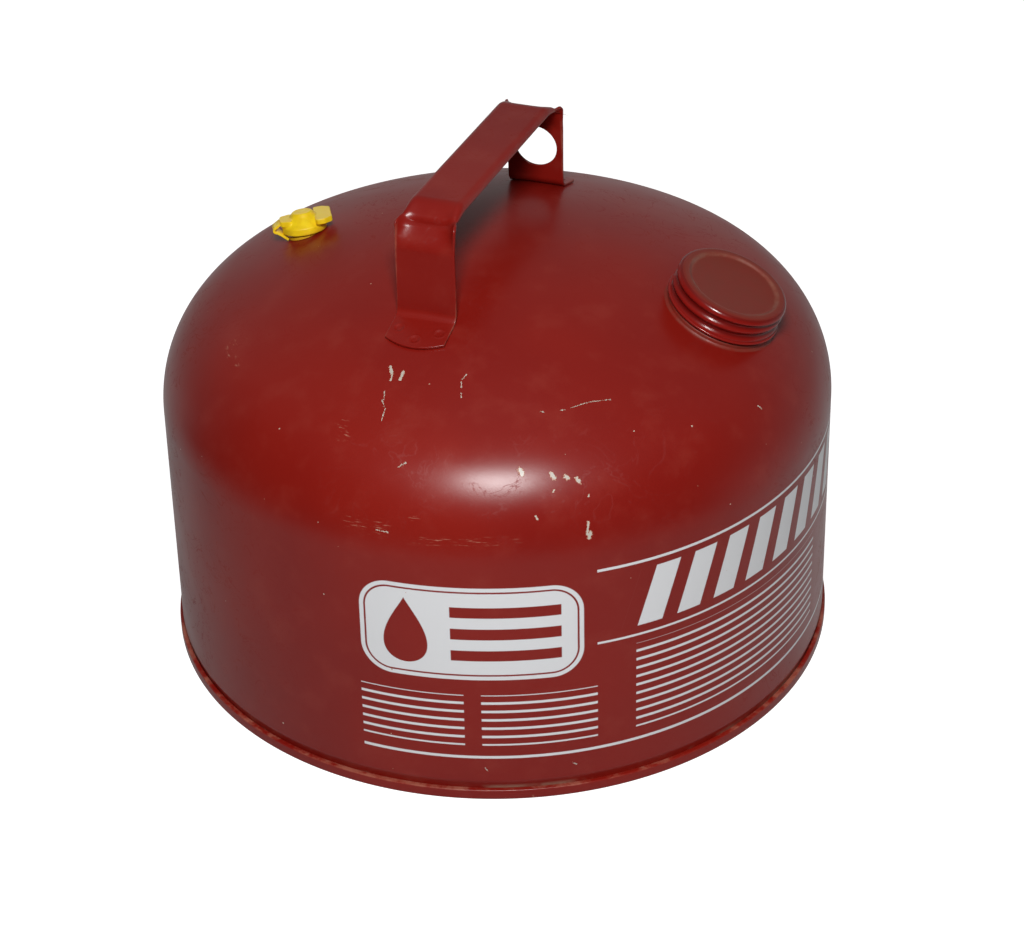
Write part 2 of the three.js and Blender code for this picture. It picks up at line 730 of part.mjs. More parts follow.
// Vent cap: an upturned cup with a sloping top, a tapered plug in its middle, a low hump, a
// tab towards the can's middle and an ear for the hinge
function ventCap() {
  const plugRadius = bushBoreRadius - seatGap;
  const ceiling = ventCupRim - ventCupWall;
  const profile = [
    [0, ventCupBottom - ventPlugLength],
    [plugRadius - ventPlugTaper, ventCupBottom - ventPlugLength],
    [plugRadius, ventCupBottom],
    [ventCupRadius, ventCupBottom],
    [ventCupRadius, ventCupRim - ventEdgeRound],
    [ventCupRadius - ventEdgeRound, ventCupRim],
    [ventHumpRadius, ventCupTop],
    [ventHumpRadius - ventHumpRound, ventCupTop + ventHumpHeight],
    [0, ventCupTop + ventHumpHeight],
  ];
  const tab = ventPlate(-1, [
    [ventPlateInset, ventTabWidth],
    [ventCupRadius - ventEdgeRound, ventTabWidth],
    [ventCupRadius + ventTabLength, ventTabEndWidth],
  ]);
  const ear = ventPlate(1, [
    [ventPlateInset, ventEarRootWidth],
    [ventEarReach, ventEarWidth],
  ]);
  const hollow = [
    [plugRadius, ventCupBottom - cutOverrun],
    [ventCupRadius - ventCupWall, ventCupBottom - cutOverrun],
    [ventCupRadius - ventCupWall, ceiling],
    [plugRadius, ceiling],
    [plugRadius, ventCupBottom - cutOverrun],
  ];
  const cap = solidFrom(lathe(profile, ventSegments))
    .add(tab)
    .add(ear)
    .subtract(solidFrom(lathe(hollow, ventSegments)));
  const lean = new THREE.Matrix4().makeRotationY(-ventCapTilt);
  const [leanX, leanHeight] = leaned(0, 0);
  lean.setPosition(leanX, 0, leanHeight);
  return geometryFrom(cap).applyMatrix4(lean);
}

// Living hinge: a strap that rises from the bush's flange and folds back to the vent cap's
// ear, with a slot in its fold
function ventHingeStrap() {
  const fold = arcPoints(
    hingeReach, hingeHeight, hingeFoldRadius, -Math.PI / 2, Math.PI / 2, hingeSteps,
  );
  const line = [
    [bushFlangeRadius + 2 * seatGap, hingeLowerMiddle],
    ...fold,
    [hingeUpperStart, hingeUpperMiddle],
  ];
  const middleAt = (column, row) => new THREE.Vector3(
    line[row][0], (column - 1 / 2) * hingeStrapWidth, line[row][1],
  );
  const strap = bentSheet(middleAt, 1, line.length - 1, hingeStrapThickness);
  const slot = new THREE.BoxGeometry(2 * hingeFoldRadius, hingeSlotWidth, 2 * hingeFoldRadius);
  slot.translate(hingeReach + hingeFoldRadius, 0, hingeHeight);
  return geometryFrom(solidFrom(strap).subtract(solidFrom(slot)));
}

function piece(name, geometry, material) {
  const mesh = new THREE.Mesh(geometry, material);
  mesh.name = name;
  return mesh;
}

filler.place.add(
  piece('filler_neck', fillerNeck(), redPaint),
  piece('neck_solder', neckSolder(), redPaint),
  piece('cap_gasket', capGasket(), blackRubber),
  piece('filler_cap', fillerCap(), capPaint),
);

vent.place.add(
  piece('vent_bush', ventBush(), yellowPlastic),
  piece('vent_cap', ventCap(), yellowPlastic),
  piece('vent_hinge_strap', ventHingeStrap(), yellowPlastic),
);

const group = new THREE.Group();
group.name = 'fuel_can';
group.add(
  piece('body_shell', bodyShell(), redPaint),
  piece('bottom_pan', bottomPan(), redPaint),
  piece('seam_compound', seamCompound(), greyCompound),
  piece('handle_strap', handleStrap(), redPaint),
  filler.round,
  vent.round,
);

export default group;
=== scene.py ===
"""Red steel fuel can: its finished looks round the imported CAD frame. Metres, +Z up.

The origin is the centre of the ring that the can stands on. +X points to the filler,
+Y to the handle's leg that has the hole, and the vent is on the -X side.
"""

from functools import partial, reduce
from math import asin, atan2, ceil, copysign, cos, hypot, pi, radians, sin, sqrt, tan

import bmesh
import bpy
from mathutils import Matrix, Vector, noise


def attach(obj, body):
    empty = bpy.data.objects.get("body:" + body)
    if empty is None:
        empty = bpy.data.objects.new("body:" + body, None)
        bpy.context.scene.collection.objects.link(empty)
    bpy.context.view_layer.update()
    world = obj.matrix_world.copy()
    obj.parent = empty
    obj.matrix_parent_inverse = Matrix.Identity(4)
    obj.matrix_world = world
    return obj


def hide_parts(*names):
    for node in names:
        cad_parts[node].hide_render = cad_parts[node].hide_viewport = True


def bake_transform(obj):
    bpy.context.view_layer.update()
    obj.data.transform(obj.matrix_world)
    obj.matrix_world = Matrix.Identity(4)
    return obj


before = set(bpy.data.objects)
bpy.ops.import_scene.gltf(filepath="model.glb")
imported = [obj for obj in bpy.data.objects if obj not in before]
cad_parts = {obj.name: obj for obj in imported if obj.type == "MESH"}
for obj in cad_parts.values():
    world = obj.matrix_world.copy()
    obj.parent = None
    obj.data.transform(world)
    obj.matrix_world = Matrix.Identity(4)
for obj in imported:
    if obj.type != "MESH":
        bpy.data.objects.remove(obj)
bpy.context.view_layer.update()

# Clearances
SEAT_GAP = 0.0003
SEAM_GAP = 0.00015
CUT_OVERRUN = 0.003
TOUCH = 0.00005
WELD_REACH = 0.000003

# Can body
BODY_SHEET = 0.0006
SHOULDER_RADIUS = 0.143
SHOULDER_HEIGHT = 0.1122
WALL_TAPER = 0.00104
KNUCKLE_RADIUS = 0.0494
CROWN_RADIUS = 0.2628

# Bottom seam and pan
CHIME_STAND = 0.00136
CHIME_HEIGHT = 0.0047
CHIME_BEND = 0.0007
WALL_PULL_IN = 0.0045
COMPOUND_THICKNESS = 0.0005
PANEL_HEIGHT = 0.0064
PANEL_CORNER = 0.002
PANEL_STEP = 0.0016
PANEL_RIM_WIDTH = 0.023
PANEL_STEP_WIDTH = 0.005

# Filler neck
FILLER_FROM_SHOULDER = 0.0443
NECK_SHEET = 0.0006
NECK_BORE_RADIUS = 0.021
NECK_LIP_HEIGHT = 0.0109
NECK_FLANGE_WIDTH = 0.0016
NECK_FLANGE_HEIGHT = 0.0012
NECK_FLANGE_BEND = 0.0007
NECK_FLANGE_EDGE = 0.0006
SOLDER_WIDTH = 0.0008
SOLDER_HEIGHT = 0.0014
SOLDER_TOP_SHARE = 0.6
SOLDER_RIPPLE = 0.0002
SOLDER_RIPPLE_LENGTH = 0.006

# Screw thread
THREAD_PITCH = 0.0045
THREAD_DEPTH = 0.0011
THREAD_CLEARANCE = 0.0004
THREAD_RUN_OUT = radians(26)
CAP_GROOVE_TURNS = 1.7
CAP_GROOVE_START = radians(123)
CAP_GROOVE_RISE = 0.0017
NECK_THREAD_TURNS = 1.2
NECK_THREAD_RISE = 0.0028

# Screw cap
CAP_SHEET = 0.0005
CAP_RIM_WIDTH = 0.0055
CAP_PANEL_DEPTH = 0.0009
CAP_PANEL_SLOPE = 0.0016
CAP_SHOULDER_RADIUS = 0.0025
CAP_EDGE_GAP = 0.001
CAP_CURL = 0.0006
GASKET_THICKNESS = 0.0016
GASKET_WIDTH = 0.0046

# Strap handle
STRAP_SHEET = 0.0012
STRAP_WIDTH = 0.0254
STRAP_SHIFT = -0.0044
HAND_ROOM = 0.0358
LEG_SPREAD_AT_GRIP = 0.0604
LEG_SPREAD_AT_FOOT = 0.0634
FOOT_LENGTH = 0.0173
FOOT_END_ROUND = 0.0038
GRIP_BEND_RADIUS = 0.0074
FOOT_BEND_RADIUS = 0.0044
GRIP_EDGE_RADIUS = 0.0025
GRIP_EDGE_LIP = 0.0004
GRIP_EDGE_ANGLE = radians(84)
GRIP_EDGE_RUN_OUT = 0.006
GRIP_EDGE_FADE = 0.004
BEND_DISH = 0.006
BEND_DISH_REACH = 0.014
GRIP_TWIST = 0.0009
SPOUT_HOLE_RADIUS = 0.0095
SPOUT_HOLE_DROP = 0.0258
SPOUT_HOLE_SHIFT = 0.0007
HOLE_EDGE_ROUND = 0.0003
WELD_RADIUS = 0.0019
WELD_DEPTH = 0.0003
WELD_FLAT_SHARE = 0.7
WELD_RING_SHARE = 1.15
WELD_RING_WIDTH_SHARE = 0.3
WELD_RING_HEIGHT_SHARE = 0.5
WELD_FROM_TIP = 0.0042
WELD_ROW_SPACING = 0.0049
WELD_SPREAD = 0.0086

# Vent
VENT_FROM_SHOULDER = 0.0562
VENT_TURN = radians(0.6)
VENT_TWIST = radians(31)
BUSH_BORE_RADIUS = 0.0052
BUSH_WALL = 0.0014
BUSH_FLANGE_WIDTH = 0.0013
BUSH_FLANGE_THICKNESS = 0.0011
BUSH_BARB = 0.0009
BUSH_BARB_LENGTH = 0.0026
BUSH_SHEET_ROOM = 0.0004
VENT_CUP_WALL = 0.0012
VENT_CUP_OVERHANG = 0.0005
VENT_CUP_HEIGHT = 0.0066
VENT_CUP_CROWN = 0.0005
VENT_CUP_SLOPE = 0.0032
VENT_EDGE_ROUND = 0.0006
VENT_PLUG_TAPER = 0.0011
VENT_PLUG_LENGTH = 0.0034
VENT_CAP_TILT = radians(11)
VENT_HUMP_RADIUS = 0.0054
VENT_HUMP_ROUND = 0.0012
VENT_HUMP_HEIGHT = 0.0016
VENT_PLATE_INSET = 0.005
VENT_PLATE_THICKNESS = 0.0024
VENT_PLATE_ROUND = 0.0012
VENT_TAB_LENGTH = 0.0026
VENT_TAB_WIDTH = 0.0192
VENT_TAB_END_WIDTH = 0.014
VENT_EAR_LENGTH = 0.0004
VENT_EAR_ROOT_WIDTH = 0.012
VENT_EAR_WIDTH = 0.0084
VENT_VOXEL = 0.00025
HINGE_STRAP_THICKNESS = 0.001
HINGE_STRAP_WIDTH = 0.007
HINGE_SLOT_WIDTH = 0.0024
HINGE_SLACK = 0.0022
HINGE_DROP = 0.0009
HINGE_FOLD_RADIUS = 0.0011
HINGE_EDGE_ROUND = 0.0003

# Fineness of the meshes
BODY_SEGMENTS = 288
NECK_SEGMENTS = 192
VENT_SEGMENTS = 96
ARC_STEPS = 6
DOME_STEPS = 40
THREAD_ROW = 0.00025
STRAP_ROW = 0.0005
STRAP_COLUMNS = 56
SHARP_ANGLE = radians(38)
DOME_TRIES = 12
STRAP_EDGE_STEPS = 3
STRAP_EDGE_ANGLE = radians(80)
HINGE_EDGE_STEPS = 2
HINGE_EDGE_ANGLE = radians(50)
VENT_SOFTEN_SHARE = 0.5
VENT_SOFTEN_TIMES = 8

TURN = 2 * pi

# Sizes that follow from the ones above
KNUCKLE_CENTRE = SHOULDER_RADIUS - KNUCKLE_RADIUS
CROWN_CENTRE_HEIGHT = SHOULDER_HEIGHT - sqrt(
    (CROWN_RADIUS - KNUCKLE_RADIUS) ** 2 - KNUCKLE_CENTRE**2
)
CROWN_KNUCKLE_ANGLE = atan2(KNUCKLE_CENTRE, SHOULDER_HEIGHT - CROWN_CENTRE_HEIGHT)
WALL_FOOT_RADIUS = SHOULDER_RADIUS + WALL_TAPER
CHIME_RADIUS = WALL_FOOT_RADIUS + CHIME_STAND
SEAM_STEP = BODY_SHEET + SEAM_GAP
BODY_HOOK_RADIUS = CHIME_RADIUS - SEAM_STEP
PAN_HOOK_RADIUS = BODY_HOOK_RADIUS - SEAM_STEP
SEAM_WALL_RADIUS = PAN_HOOK_RADIUS - SEAM_STEP
PAN_WALL_RADIUS = SEAM_WALL_RADIUS - SEAM_STEP
BODY_HOOK_BOTTOM = BODY_SHEET + COMPOUND_THICKNESS + 2 * SEAM_GAP
BODY_HOOK_TOP = CHIME_HEIGHT - BODY_SHEET - SEAM_GAP
FILLER_OFFSET = SHOULDER_RADIUS - FILLER_FROM_SHOULDER
VENT_OFFSET = SHOULDER_RADIUS - VENT_FROM_SHOULDER
NECK_ROOT_RADIUS = NECK_BORE_RADIUS + NECK_SHEET
NECK_FLANGE_RADIUS = NECK_ROOT_RADIUS + NECK_FLANGE_WIDTH
NECK_THREAD_HEIGHT = NECK_FLANGE_HEIGHT + NECK_THREAD_RISE
CAP_SKIRT_RADIUS = NECK_ROOT_RADIUS + THREAD_DEPTH + THREAD_CLEARANCE + CAP_SHEET
CAP_PANEL_RADIUS = CAP_SKIRT_RADIUS - CAP_RIM_WIDTH
CAP_INNER_TOP = NECK_LIP_HEIGHT + GASKET_THICKNESS + 2 * SEAT_GAP
CAP_TOP_HEIGHT = CAP_INNER_TOP + CAP_SHEET + CAP_PANEL_DEPTH
CAP_EDGE_HEIGHT = NECK_FLANGE_HEIGHT + CAP_EDGE_GAP
CAP_GROOVE_HEIGHT = CAP_EDGE_HEIGHT + CAP_GROOVE_RISE
BUSH_COLLAR_RADIUS = BUSH_BORE_RADIUS + BUSH_WALL
BUSH_HOLE_RADIUS = BUSH_COLLAR_RADIUS + SEAT_GAP
BUSH_FLANGE_RADIUS = BUSH_COLLAR_RADIUS + BUSH_FLANGE_WIDTH
BUSH_FLANGE_TOP = SEAT_GAP + BUSH_FLANGE_THICKNESS
VENT_CUP_RADIUS = BUSH_FLANGE_RADIUS + VENT_CUP_OVERHANG + VENT_CUP_WALL
VENT_CUP_BOTTOM = BUSH_FLANGE_TOP + SEAT_GAP
VENT_CUP_TOP = VENT_CUP_BOTTOM + VENT_CUP_HEIGHT
VENT_CUP_EDGE = VENT_CUP_TOP - VENT_CUP_CROWN
VENT_CUP_RIM = VENT_CUP_EDGE - VENT_CUP_SLOPE
VENT_EAR_REACH = VENT_CUP_RADIUS + VENT_EAR_LENGTH
VENT_EAR_MIDDLE = VENT_CUP_EDGE - VENT_PLATE_THICKNESS / 2


def lerp(start, end, share):
    return start + (end - start) * share


def smooth(value, low, high):
    share = min(max((value - low) / (high - low), 0), 1)
    return share * share * (3 - 2 * share)


def dome_height(distance):
    """Height of the dome's outer surface at a distance from the can's axis."""
    if distance <= CROWN_RADIUS * sin(CROWN_KNUCKLE_ANGLE):
        return CROWN_CENTRE_HEIGHT + sqrt(CROWN_RADIUS**2 - distance**2)
    out = min(distance - KNUCKLE_CENTRE, KNUCKLE_RADIUS)
    return SHOULDER_HEIGHT + sqrt(KNUCKLE_RADIUS**2 - out**2)


def place_on_dome(distance, angle, twist=0.0):
    """A place on the dome, with +Z along its normal and +X down the slope."""
    return (
        Matrix.Rotation(angle, 4, "Z")
        @ Matrix.Translation((distance, 0, dome_height(distance)))
        @ Matrix.Rotation(asin(distance / CROWN_RADIUS), 4, "Y")
        @ Matrix.Rotation(twist, 4, "Z")
    )


FILLER_PLACE = place_on_dome(FILLER_OFFSET, 0)
VENT_PLACE = place_on_dome(VENT_OFFSET, pi - VENT_TURN, VENT_TWIST)


def dome_under(place, x, y):
    """Height of the dome in a place's own frame, above or below one of its points."""
    height = 0.0
    for _ in range(DOME_TRIES):
        point = place @ Vector((x, y, height))
        height -= point.z - dome_height(hypot(point.x, point.y))
    return height


# Meshes


def mesh_object(name, points, faces):
    """An object whose touching points are shared and whose faces look outwards."""
    mesh = bpy.data.meshes.new(name)
    mesh.from_pydata([tuple(point) for point in points], [], faces)
    shape = bmesh.new()
    shape.from_mesh(mesh)
    weld(shape)
    bmesh.ops.recalc_face_normals(shape, faces=shape.faces)
    shape.to_mesh(mesh)
    shape.free()
    made = bpy.data.objects.new(name, mesh)
    bpy.context.scene.collection.objects.link(made)
    return made


def revolved(name, profile_at, segments):
    """A turned form whose profile, a closed loop of (radius, height), changes with the angle."""
    points = []
    faces = []
    count = len(profile_at(0.0))
    for i in range(segments):
        angle = TURN * i / segments
        for radius, height in profile_at(angle):
            points.append((radius * cos(angle), radius * sin(angle), height))
        for j in range(count):
            here = i * count
            following = (i + 1) % segments * count
            after = (j + 1) % count
            faces.append((here + j, following + j, following + after, here + after))
    return mesh_object(name, points, faces)


def lathe(name, profile, segments):
    return revolved(name, lambda angle: profile, segments)


def arc(centre_radius, centre_height, radius, start, end, steps=ARC_STEPS):
    """Points on an arc in a profile, both ends included."""
    angles = [lerp(start, end, i / steps) for i in range(steps + 1)]
    return [
        (centre_radius + radius * cos(a), centre_height + radius * sin(a)) for a in angles
    ]


def eased(start, end, steps=2 * ARC_STEPS):
    """Points of a soft step between two profile points, level at both ends."""
    shares = [i / steps for i in range(steps + 1)]
    return [(lerp(start[0], end[0], s), lerp(start[1], end[1], smooth(s, 0, 1))) for s in shares]


def eased_out(start, end, steps=2 * ARC_STEPS):
    """Points of a soft step between two profile points, upright at both ends."""
    shares = [i / steps for i in range(steps + 1)]
    return [(lerp(start[0], end[0], smooth(s, 0, 1)), lerp(start[1], end[1], s)) for s in shares]


def rounded(corners):
    """A closed profile of (radius, height, round) corners, each with its own round."""
    made = []
    for i, (x, y, size) in enumerate(corners):
        here = Vector((x, y))
        before = Vector(corners[i - 1][:2]) - here
        after = Vector(corners[(i + 1) % len(corners)][:2]) - here
        if size == 0:
            made.append((x, y))
            continue
        half = before.angle(after) / 2
        cut = min(size / tan(half), before.length / 2, after.length / 2)
        start = here + before.normalized() * cut
        end = here + after.normalized() * cut
        for k in range(ARC_STEPS + 1):
            share = k / ARC_STEPS
            along = start.lerp(here, share).lerp(here.lerp(end, share), share)
            made.append((along.x, along.y))
    return made


def weld(shape):
    """Joins points that touch and takes out faces with no area."""
    bmesh.ops.remove_doubles(shape, verts=shape.verts, dist=WELD_REACH)
    bmesh.ops.dissolve_degenerate(shape, edges=shape.edges, dist=WELD_REACH)


def settle(piece):
    """Applies the piece's modifiers."""
    graph = bpy.context.evaluated_depsgraph_get()
    graph.update()
    mesh = bpy.data.meshes.new_from_object(piece.evaluated_get(graph))
    piece.modifiers.clear()
    piece.data = mesh
    shape = bmesh.new()
    shape.from_mesh(mesh)
    weld(shape)
    shape.to_mesh(mesh)
    shape.free()


def combine(piece, tool, operation):
    """Joins a closed form to a piece or cuts it out of the piece."""
    bpy.context.view_layer.update()
    modifier = piece.modifiers.new(operation, "BOOLEAN")
    modifier.operation = operation
    modifier.solver = "EXACT"
    modifier.object = tool
    settle(piece)
    bpy.data.objects.remove(tool)


def round_edges(piece, width, steps, angle, held=True):
    """Rounds the edges that are sharper than an angle."""
    modifier = piece.modifiers.new("round_edges", "BEVEL")
    modifier.width = width
    modifier.segments = steps
    modifier.limit_method = "ANGLE"
    modifier.angle_limit = angle
    modifier.use_clamp_overlap = held
    settle(piece)


def dress(piece, finish, body, nodes, place=None):
    """Shades a piece, gives it its material and joins it to the frame."""
    piece.data.shade_smooth()
    piece.data.set_sharp_from_angle(angle=SHARP_ANGLE)
    piece.data.materials.clear()
    piece.data.materials.append(finish)
    if place is not None:
        piece.matrix_world = place
    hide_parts(*nodes)
    if body is not None:
        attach(piece, body)
    return piece


# Material graphs


def shade(red, green, blue):
    """A colour from its 0 to 255 screen values."""
    parts = [value / 255 for value in (red, green, blue)]
    linear = [part / 12.92 if part <= 0.04045 else ((part + 0.055) / 1.055) ** 2.4 for part in parts]
    return (*linear, 1.0)


VECTOR_TO_VALUE = ("DOT_PRODUCT", "LENGTH", "DISTANCE")


class Graph:
    """A node tree, with a short call for each kind of node that the materials use."""

    def __init__(self, owner):
        owner.use_nodes = True
        self.tree = owner.node_tree
        self.tree.nodes.clear()

    def node(self, kind, inputs=(), **settings):
        made = self.tree.nodes.new("ShaderNode" + kind)
        for key, value in settings.items():
            setattr(made, key, value)
        for key, value in dict(inputs).items():
            if isinstance(value, bpy.types.NodeSocket):
                self.tree.links.new(value, made.inputs[key])
            else:
                made.inputs[key].default_value = value
        return made

    def math(self, operation, *values):
        return self.node("Math", enumerate(values), operation=operation).outputs[0]

    def times(self, *values):
        return reduce(partial(self.math, "MULTIPLY"), values)

    def most(self, *values):
        return reduce(partial(self.math, "MAXIMUM"), values)

    def least(self, *values):
        return reduce(partial(self.math, "MINIMUM"), values)

    def plus(self, first, second):
        return self.math("ADD", first, second)

    def minus(self, first, second):
        return self.math("SUBTRACT", first, second)

    def apart(self, first, second):
        return self.math("ABSOLUTE", self.minus(first, second))

    def phase(self, value, pitch):
        """How far a value has come past the last whole pitch."""
        return self.times(self.math("FRACT", self.math("DIVIDE", value, pitch)), pitch)

    def parts(self, vector):
        return self.node("SeparateXYZ", {0: vector}).outputs

    def noise(self, vector, size, detail=3.0, roughness=0.55, distortion=0.0):
        names = ("Vector", "Scale", "Detail", "Roughness", "Distortion")
        values = (vector, 1 / size, detail, roughness, distortion)
        return self.node("TexNoise", zip(names, values)).outputs[0]

    def ramp(self, value, low, high, start=0.0, end=1.0):
        names = ("Value", "From Min", "From Max", "To Min", "To Max")
        inputs = zip(names, (value, low, high, start, end))
        return self.node("MapRange", inputs, interpolation_type="SMOOTHSTEP").outputs[0]

    def patches(self, vector, size, detail, roughness, *ends):
        """Noise between the ends of a ramp."""
        return self.ramp(self.noise(vector, size, detail, roughness), *ends)

    def band(self, value, low, high, blur):
        """1 between two values, with soft edges."""
        rise = self.ramp(value, low - blur, low + blur)
        return self.times(rise, self.ramp(value, high - blur, high + blur, 1.0, 0.0))

    def vector(self, operation, first, second=(0, 0, 0)):
        made = self.node("VectorMath", {0: first, 1: second}, operation=operation)
        return made.outputs["Value" if operation in VECTOR_TO_VALUE else "Vector"]

    def from_line(self, place, middle, along, length):
        """Distance of a point from a short straight line."""
        offset = self.vector("SUBTRACT", place, middle)
        reach = self.vector("DOT_PRODUCT", offset, along)
        held = self.node("Clamp", {"Value": reach, "Min": -length / 2, "Max": length / 2}).outputs[0]
        scaled = self.node("VectorMath", {0: along, "Scale": held}, operation="SCALE").outputs[0]
        return self.vector("DISTANCE", offset, scaled)

    def mix(self, factor, first, second):
        return self.node("Mix", {0: factor, 6: first, 7: second}, data_type="RGBA").outputs[2]

    def bump(self, height, distance, strength, under=None):
        inputs = {"Height": height, "Distance": distance, "Strength": strength}
        if under is not None:
            inputs["Normal"] = under
        return self.node("Bump", inputs).outputs[0]

    def surface(self, inputs):
        shader = self.node("BsdfPrincipled", inputs)
        self.node("OutputMaterial", {"Surface": shader.outputs[0]})


# Paint: its colours
ENAMEL = shade(131, 24, 15)
ENAMEL_DEEP = shade(124, 20, 13)
ENAMEL_CHALKY = shade(139, 33, 24)
DUST = shade(150, 118, 100)
DIRT_FILM = shade(112, 42, 30)
BARE_METAL = shade(184, 178, 168)
PRIMER = shade(188, 136, 112)
PRINT_WHITE = shade(222, 224, 226)

# Noises: size, detail, roughness and distortion
MOTTLE_SIZE = 0.014
GRAIN_SIZE = 0.0007
CLOUD_NOISE = (0.09, 2.0)
MOTTLE_NOISE = (MOTTLE_SIZE, 4.0)
SMALL_MOTTLE_NOISE = (MOTTLE_SIZE / 2, 4.0, 0.7)
PATCH_NOISE = (2 * MOTTLE_SIZE, 4.0)
GRAIN_NOISE = (GRAIN_SIZE, 2.0)
PEEL_NOISE = (0.0022, 2.0)
WAVE_NOISE = (0.07, 1.0)
SWIRL_NOISE = (0.016, 3.0, 0.6, 1.4)
RAGGED_NOISE = (0.001, 3.0, 0.7)
BROKEN_NOISE = (GRAIN_SIZE, 3.0, 0.7)
CAP_RUB_NOISE = (0.005, 5.0, 0.7)

# Patches: a noise's size, detail and roughness, then the ends of its ramp
STREAK_PATCHES = (1.0, 3.0, 0.6, 0.54, 0.72, 0.0, 0.5)
PRINT_WEAR_PATCHES = (MOTTLE_SIZE / 2, 5.0, 0.75, 0.2, 0.3)
GROOVE_PATCHES = (0.05, 5.0, 0.7, 0.5, 0.68)
CHIME_EDGE_PATCHES = (MOTTLE_SIZE, 5.0, 0.75, 0.42, 0.62)
CHIME_CHIP_PATCHES = (0.005, 4.0, 0.7, 0.66, 0.7)
STRAP_EDGE_PATCHES = (MOTTLE_SIZE, 5.0, 0.7, 0.4, 0.62)
NECK_DIRT_PATCHES = (MOTTLE_SIZE / 4, 5.0, 0.7, 0.3, 0.65, 0.35, 0.85)
PLASTIC_SPOT_PATCHES = (0.0014, 4.0, 0.7, 0.62, 0.75, 0.0, 0.3)

# Ramps: where each starts and ends and, if they aren't 0 and 1, its values there
CLOUD_SHARES = (0.36, 0.64)
CHALK_SHARES = (0.46, 0.8, 0.0, 0.35)
MOTTLE_DUST_SHARES = (0.5, 0.75)
GRAIN_DUST_SHARES = (0.6, 0.85)
SWIRL_SHARES = (0.014, 0.003)
RUBBED_SHARES = (0.42, 0.54, 0.0, 0.14)
PAINT_ROUGH_SHARES = (0.3, 0.75, 0.285, 0.335)
SPECK_SHARES = (0.3, 1.0, 0.02, 1.0)
SCUFF_EDGE_SHARES = (1.0, 0.3)
CHIP_EDGE_SHARES = (1.1, 0.95)
CHIP_MIDDLE_SHARES = (0.85, 0.6)
DIRT_ROUGH_SHARES = (0.35, 0.85, 0.38, 0.55)
CAP_FILM_SHARES = (0.3, 0.7, 0.75, 0.95)
CAP_DUST_SHARES = (0.35, 0.65, 0.08, 0.3)
CAP_ROUGH_SHARES = (0.0, 0.8, 0.2, 0.44)
TONE_SHARES = (0.35, 0.7)
# Painted light on the vent's upward faces
TOP_LIGHT_SHARES = (0.85, 0.97, 0.0, 0.9)
PLASTIC_ROUGH_SHARES = (0.3, 0.7, 0.38, 0.52)
RUBBER_ROUGH_SHARES = (0.3, 0.7, 0.62, 0.85)
COMPOUND_ROUGH_SHARES = (0.3, 0.7, 0.7, 0.9)

# Bumps: height and strength
PEEL_HEIGHT = 0.000012
WAVE_BUMP = (0.0006, 0.3)
PEEL_BUMP = (PEEL_HEIGHT, 0.6)
CHIP_BUMP = (-0.00008, 1.0)
RUBBER_BUMP = (PEEL_HEIGHT, 0.8)
COMPOUND_BUMP = (PEEL_HEIGHT, 1.0)
PLASTIC_BUMP = (0.00001, 0.7)

# How much of each kind of wear, dirt and painted shade shows
PAINT_GLOSS_SHARE = 0.35
BODY_DUST_SHARE = 0.025
PLAIN_DUST_SHARE = 0.03
NECK_DUST_SHARE = 0.1
PRINT_SHARE = 0.96
GROOVE_DIRT_SHARE = 0.75
SCUFF_ROUGH_SHARE = 0.4
CHIME_EDGE_SHARE = 0.34
CHIME_FOOT_SHARE = 0.8
STRAP_EDGE_SHARE = 0.2
# Painted shade in the cap's thread grooves
CAP_GROOVE_SHADE_SHARE = 0.8
# Painted shade low on the vent parts
PLASTIC_LOW_SHADE_SHARE = 0.6
PLASTIC_GLOSS_SHARE = 0.4
PLASTIC_DEPTH_SHARE = 0.08

# Sizes of wear and dirt
SPECK_CELL = 0.009
SPECK_RADIUS = 0.00042
SCUFF_LENGTH = 0.006
SCUFF_HEIGHT = 0.0007
GROOVE_DIRT_HEIGHT = 0.0022
CHIME_EDGE_WEAR = 0.0007
STRAP_EDGE_WEAR = 0.0005


def paint_colour(graph, place, dust_share):
    """The enamel's colour before chips and print: clouds, mottle and a little dust."""
    cloud, mottle, grain = [
        graph.noise(place, *look) for look in (CLOUD_NOISE, MOTTLE_NOISE, GRAIN_NOISE)
    ]
    colour = graph.mix(graph.ramp(cloud, *CLOUD_SHARES), ENAMEL_DEEP, ENAMEL)
    colour = graph.mix(graph.ramp(mottle, *CHALK_SHARES), colour, ENAMEL_CHALKY)
    dust = graph.plus(graph.ramp(mottle, *MOTTLE_DUST_SHARES), graph.ramp(grain, *GRAIN_DUST_SHARES))
    return graph.mix(graph.times(dust, dust_share), colour, DUST)


def paint_bump(graph, place):
    """Orange peel over the slow waves of drawn sheet."""
    waves = graph.bump(graph.noise(place, *WAVE_NOISE), *WAVE_BUMP)
    return graph.bump(graph.noise(place, *PEEL_NOISE), *PEEL_BUMP, waves)


def paint_roughness(graph, place):
    """Fairly even gloss, dulled a little in patches and along fine curved rub marks."""
    patch = graph.noise(place, *PATCH_NOISE)
    line = graph.ramp(graph.apart(graph.noise(place, *SWIRL_NOISE), 0.5), *SWIRL_SHARES)
    rubbed = graph.times(line, graph.ramp(patch, *RUBBED_SHARES))
    return graph.plus(graph.ramp(patch, *PAINT_ROUGH_SHARES), rubbed)


def new_material(name):
    """A material, its graph and the graph's place on the piece."""
    made = bpy.data.materials.new(name)
    graph = Graph(made)
    return made, graph, graph.node("TexCoord").outputs["Object"]


def painted(graph, colour, roughness, normal):
    graph.surface({
        "Base Color": colour,
        "Roughness": roughness,
        "Specular IOR Level": PAINT_GLOSS_SHARE,
        "Normal": normal,
    })


def plain_enamel(name, wear):
    """Enamel for a small steel part. wear(graph, place) gives a mask of paint rubbed thin."""
    made, graph, place = new_material(name)
    colour = graph.mix(wear(graph, place), paint_colour(graph, place, PLAIN_DUST_SHARE), PRIMER)
    painted(graph, colour, paint_roughness(graph, place), paint_bump(graph, place))
    return made


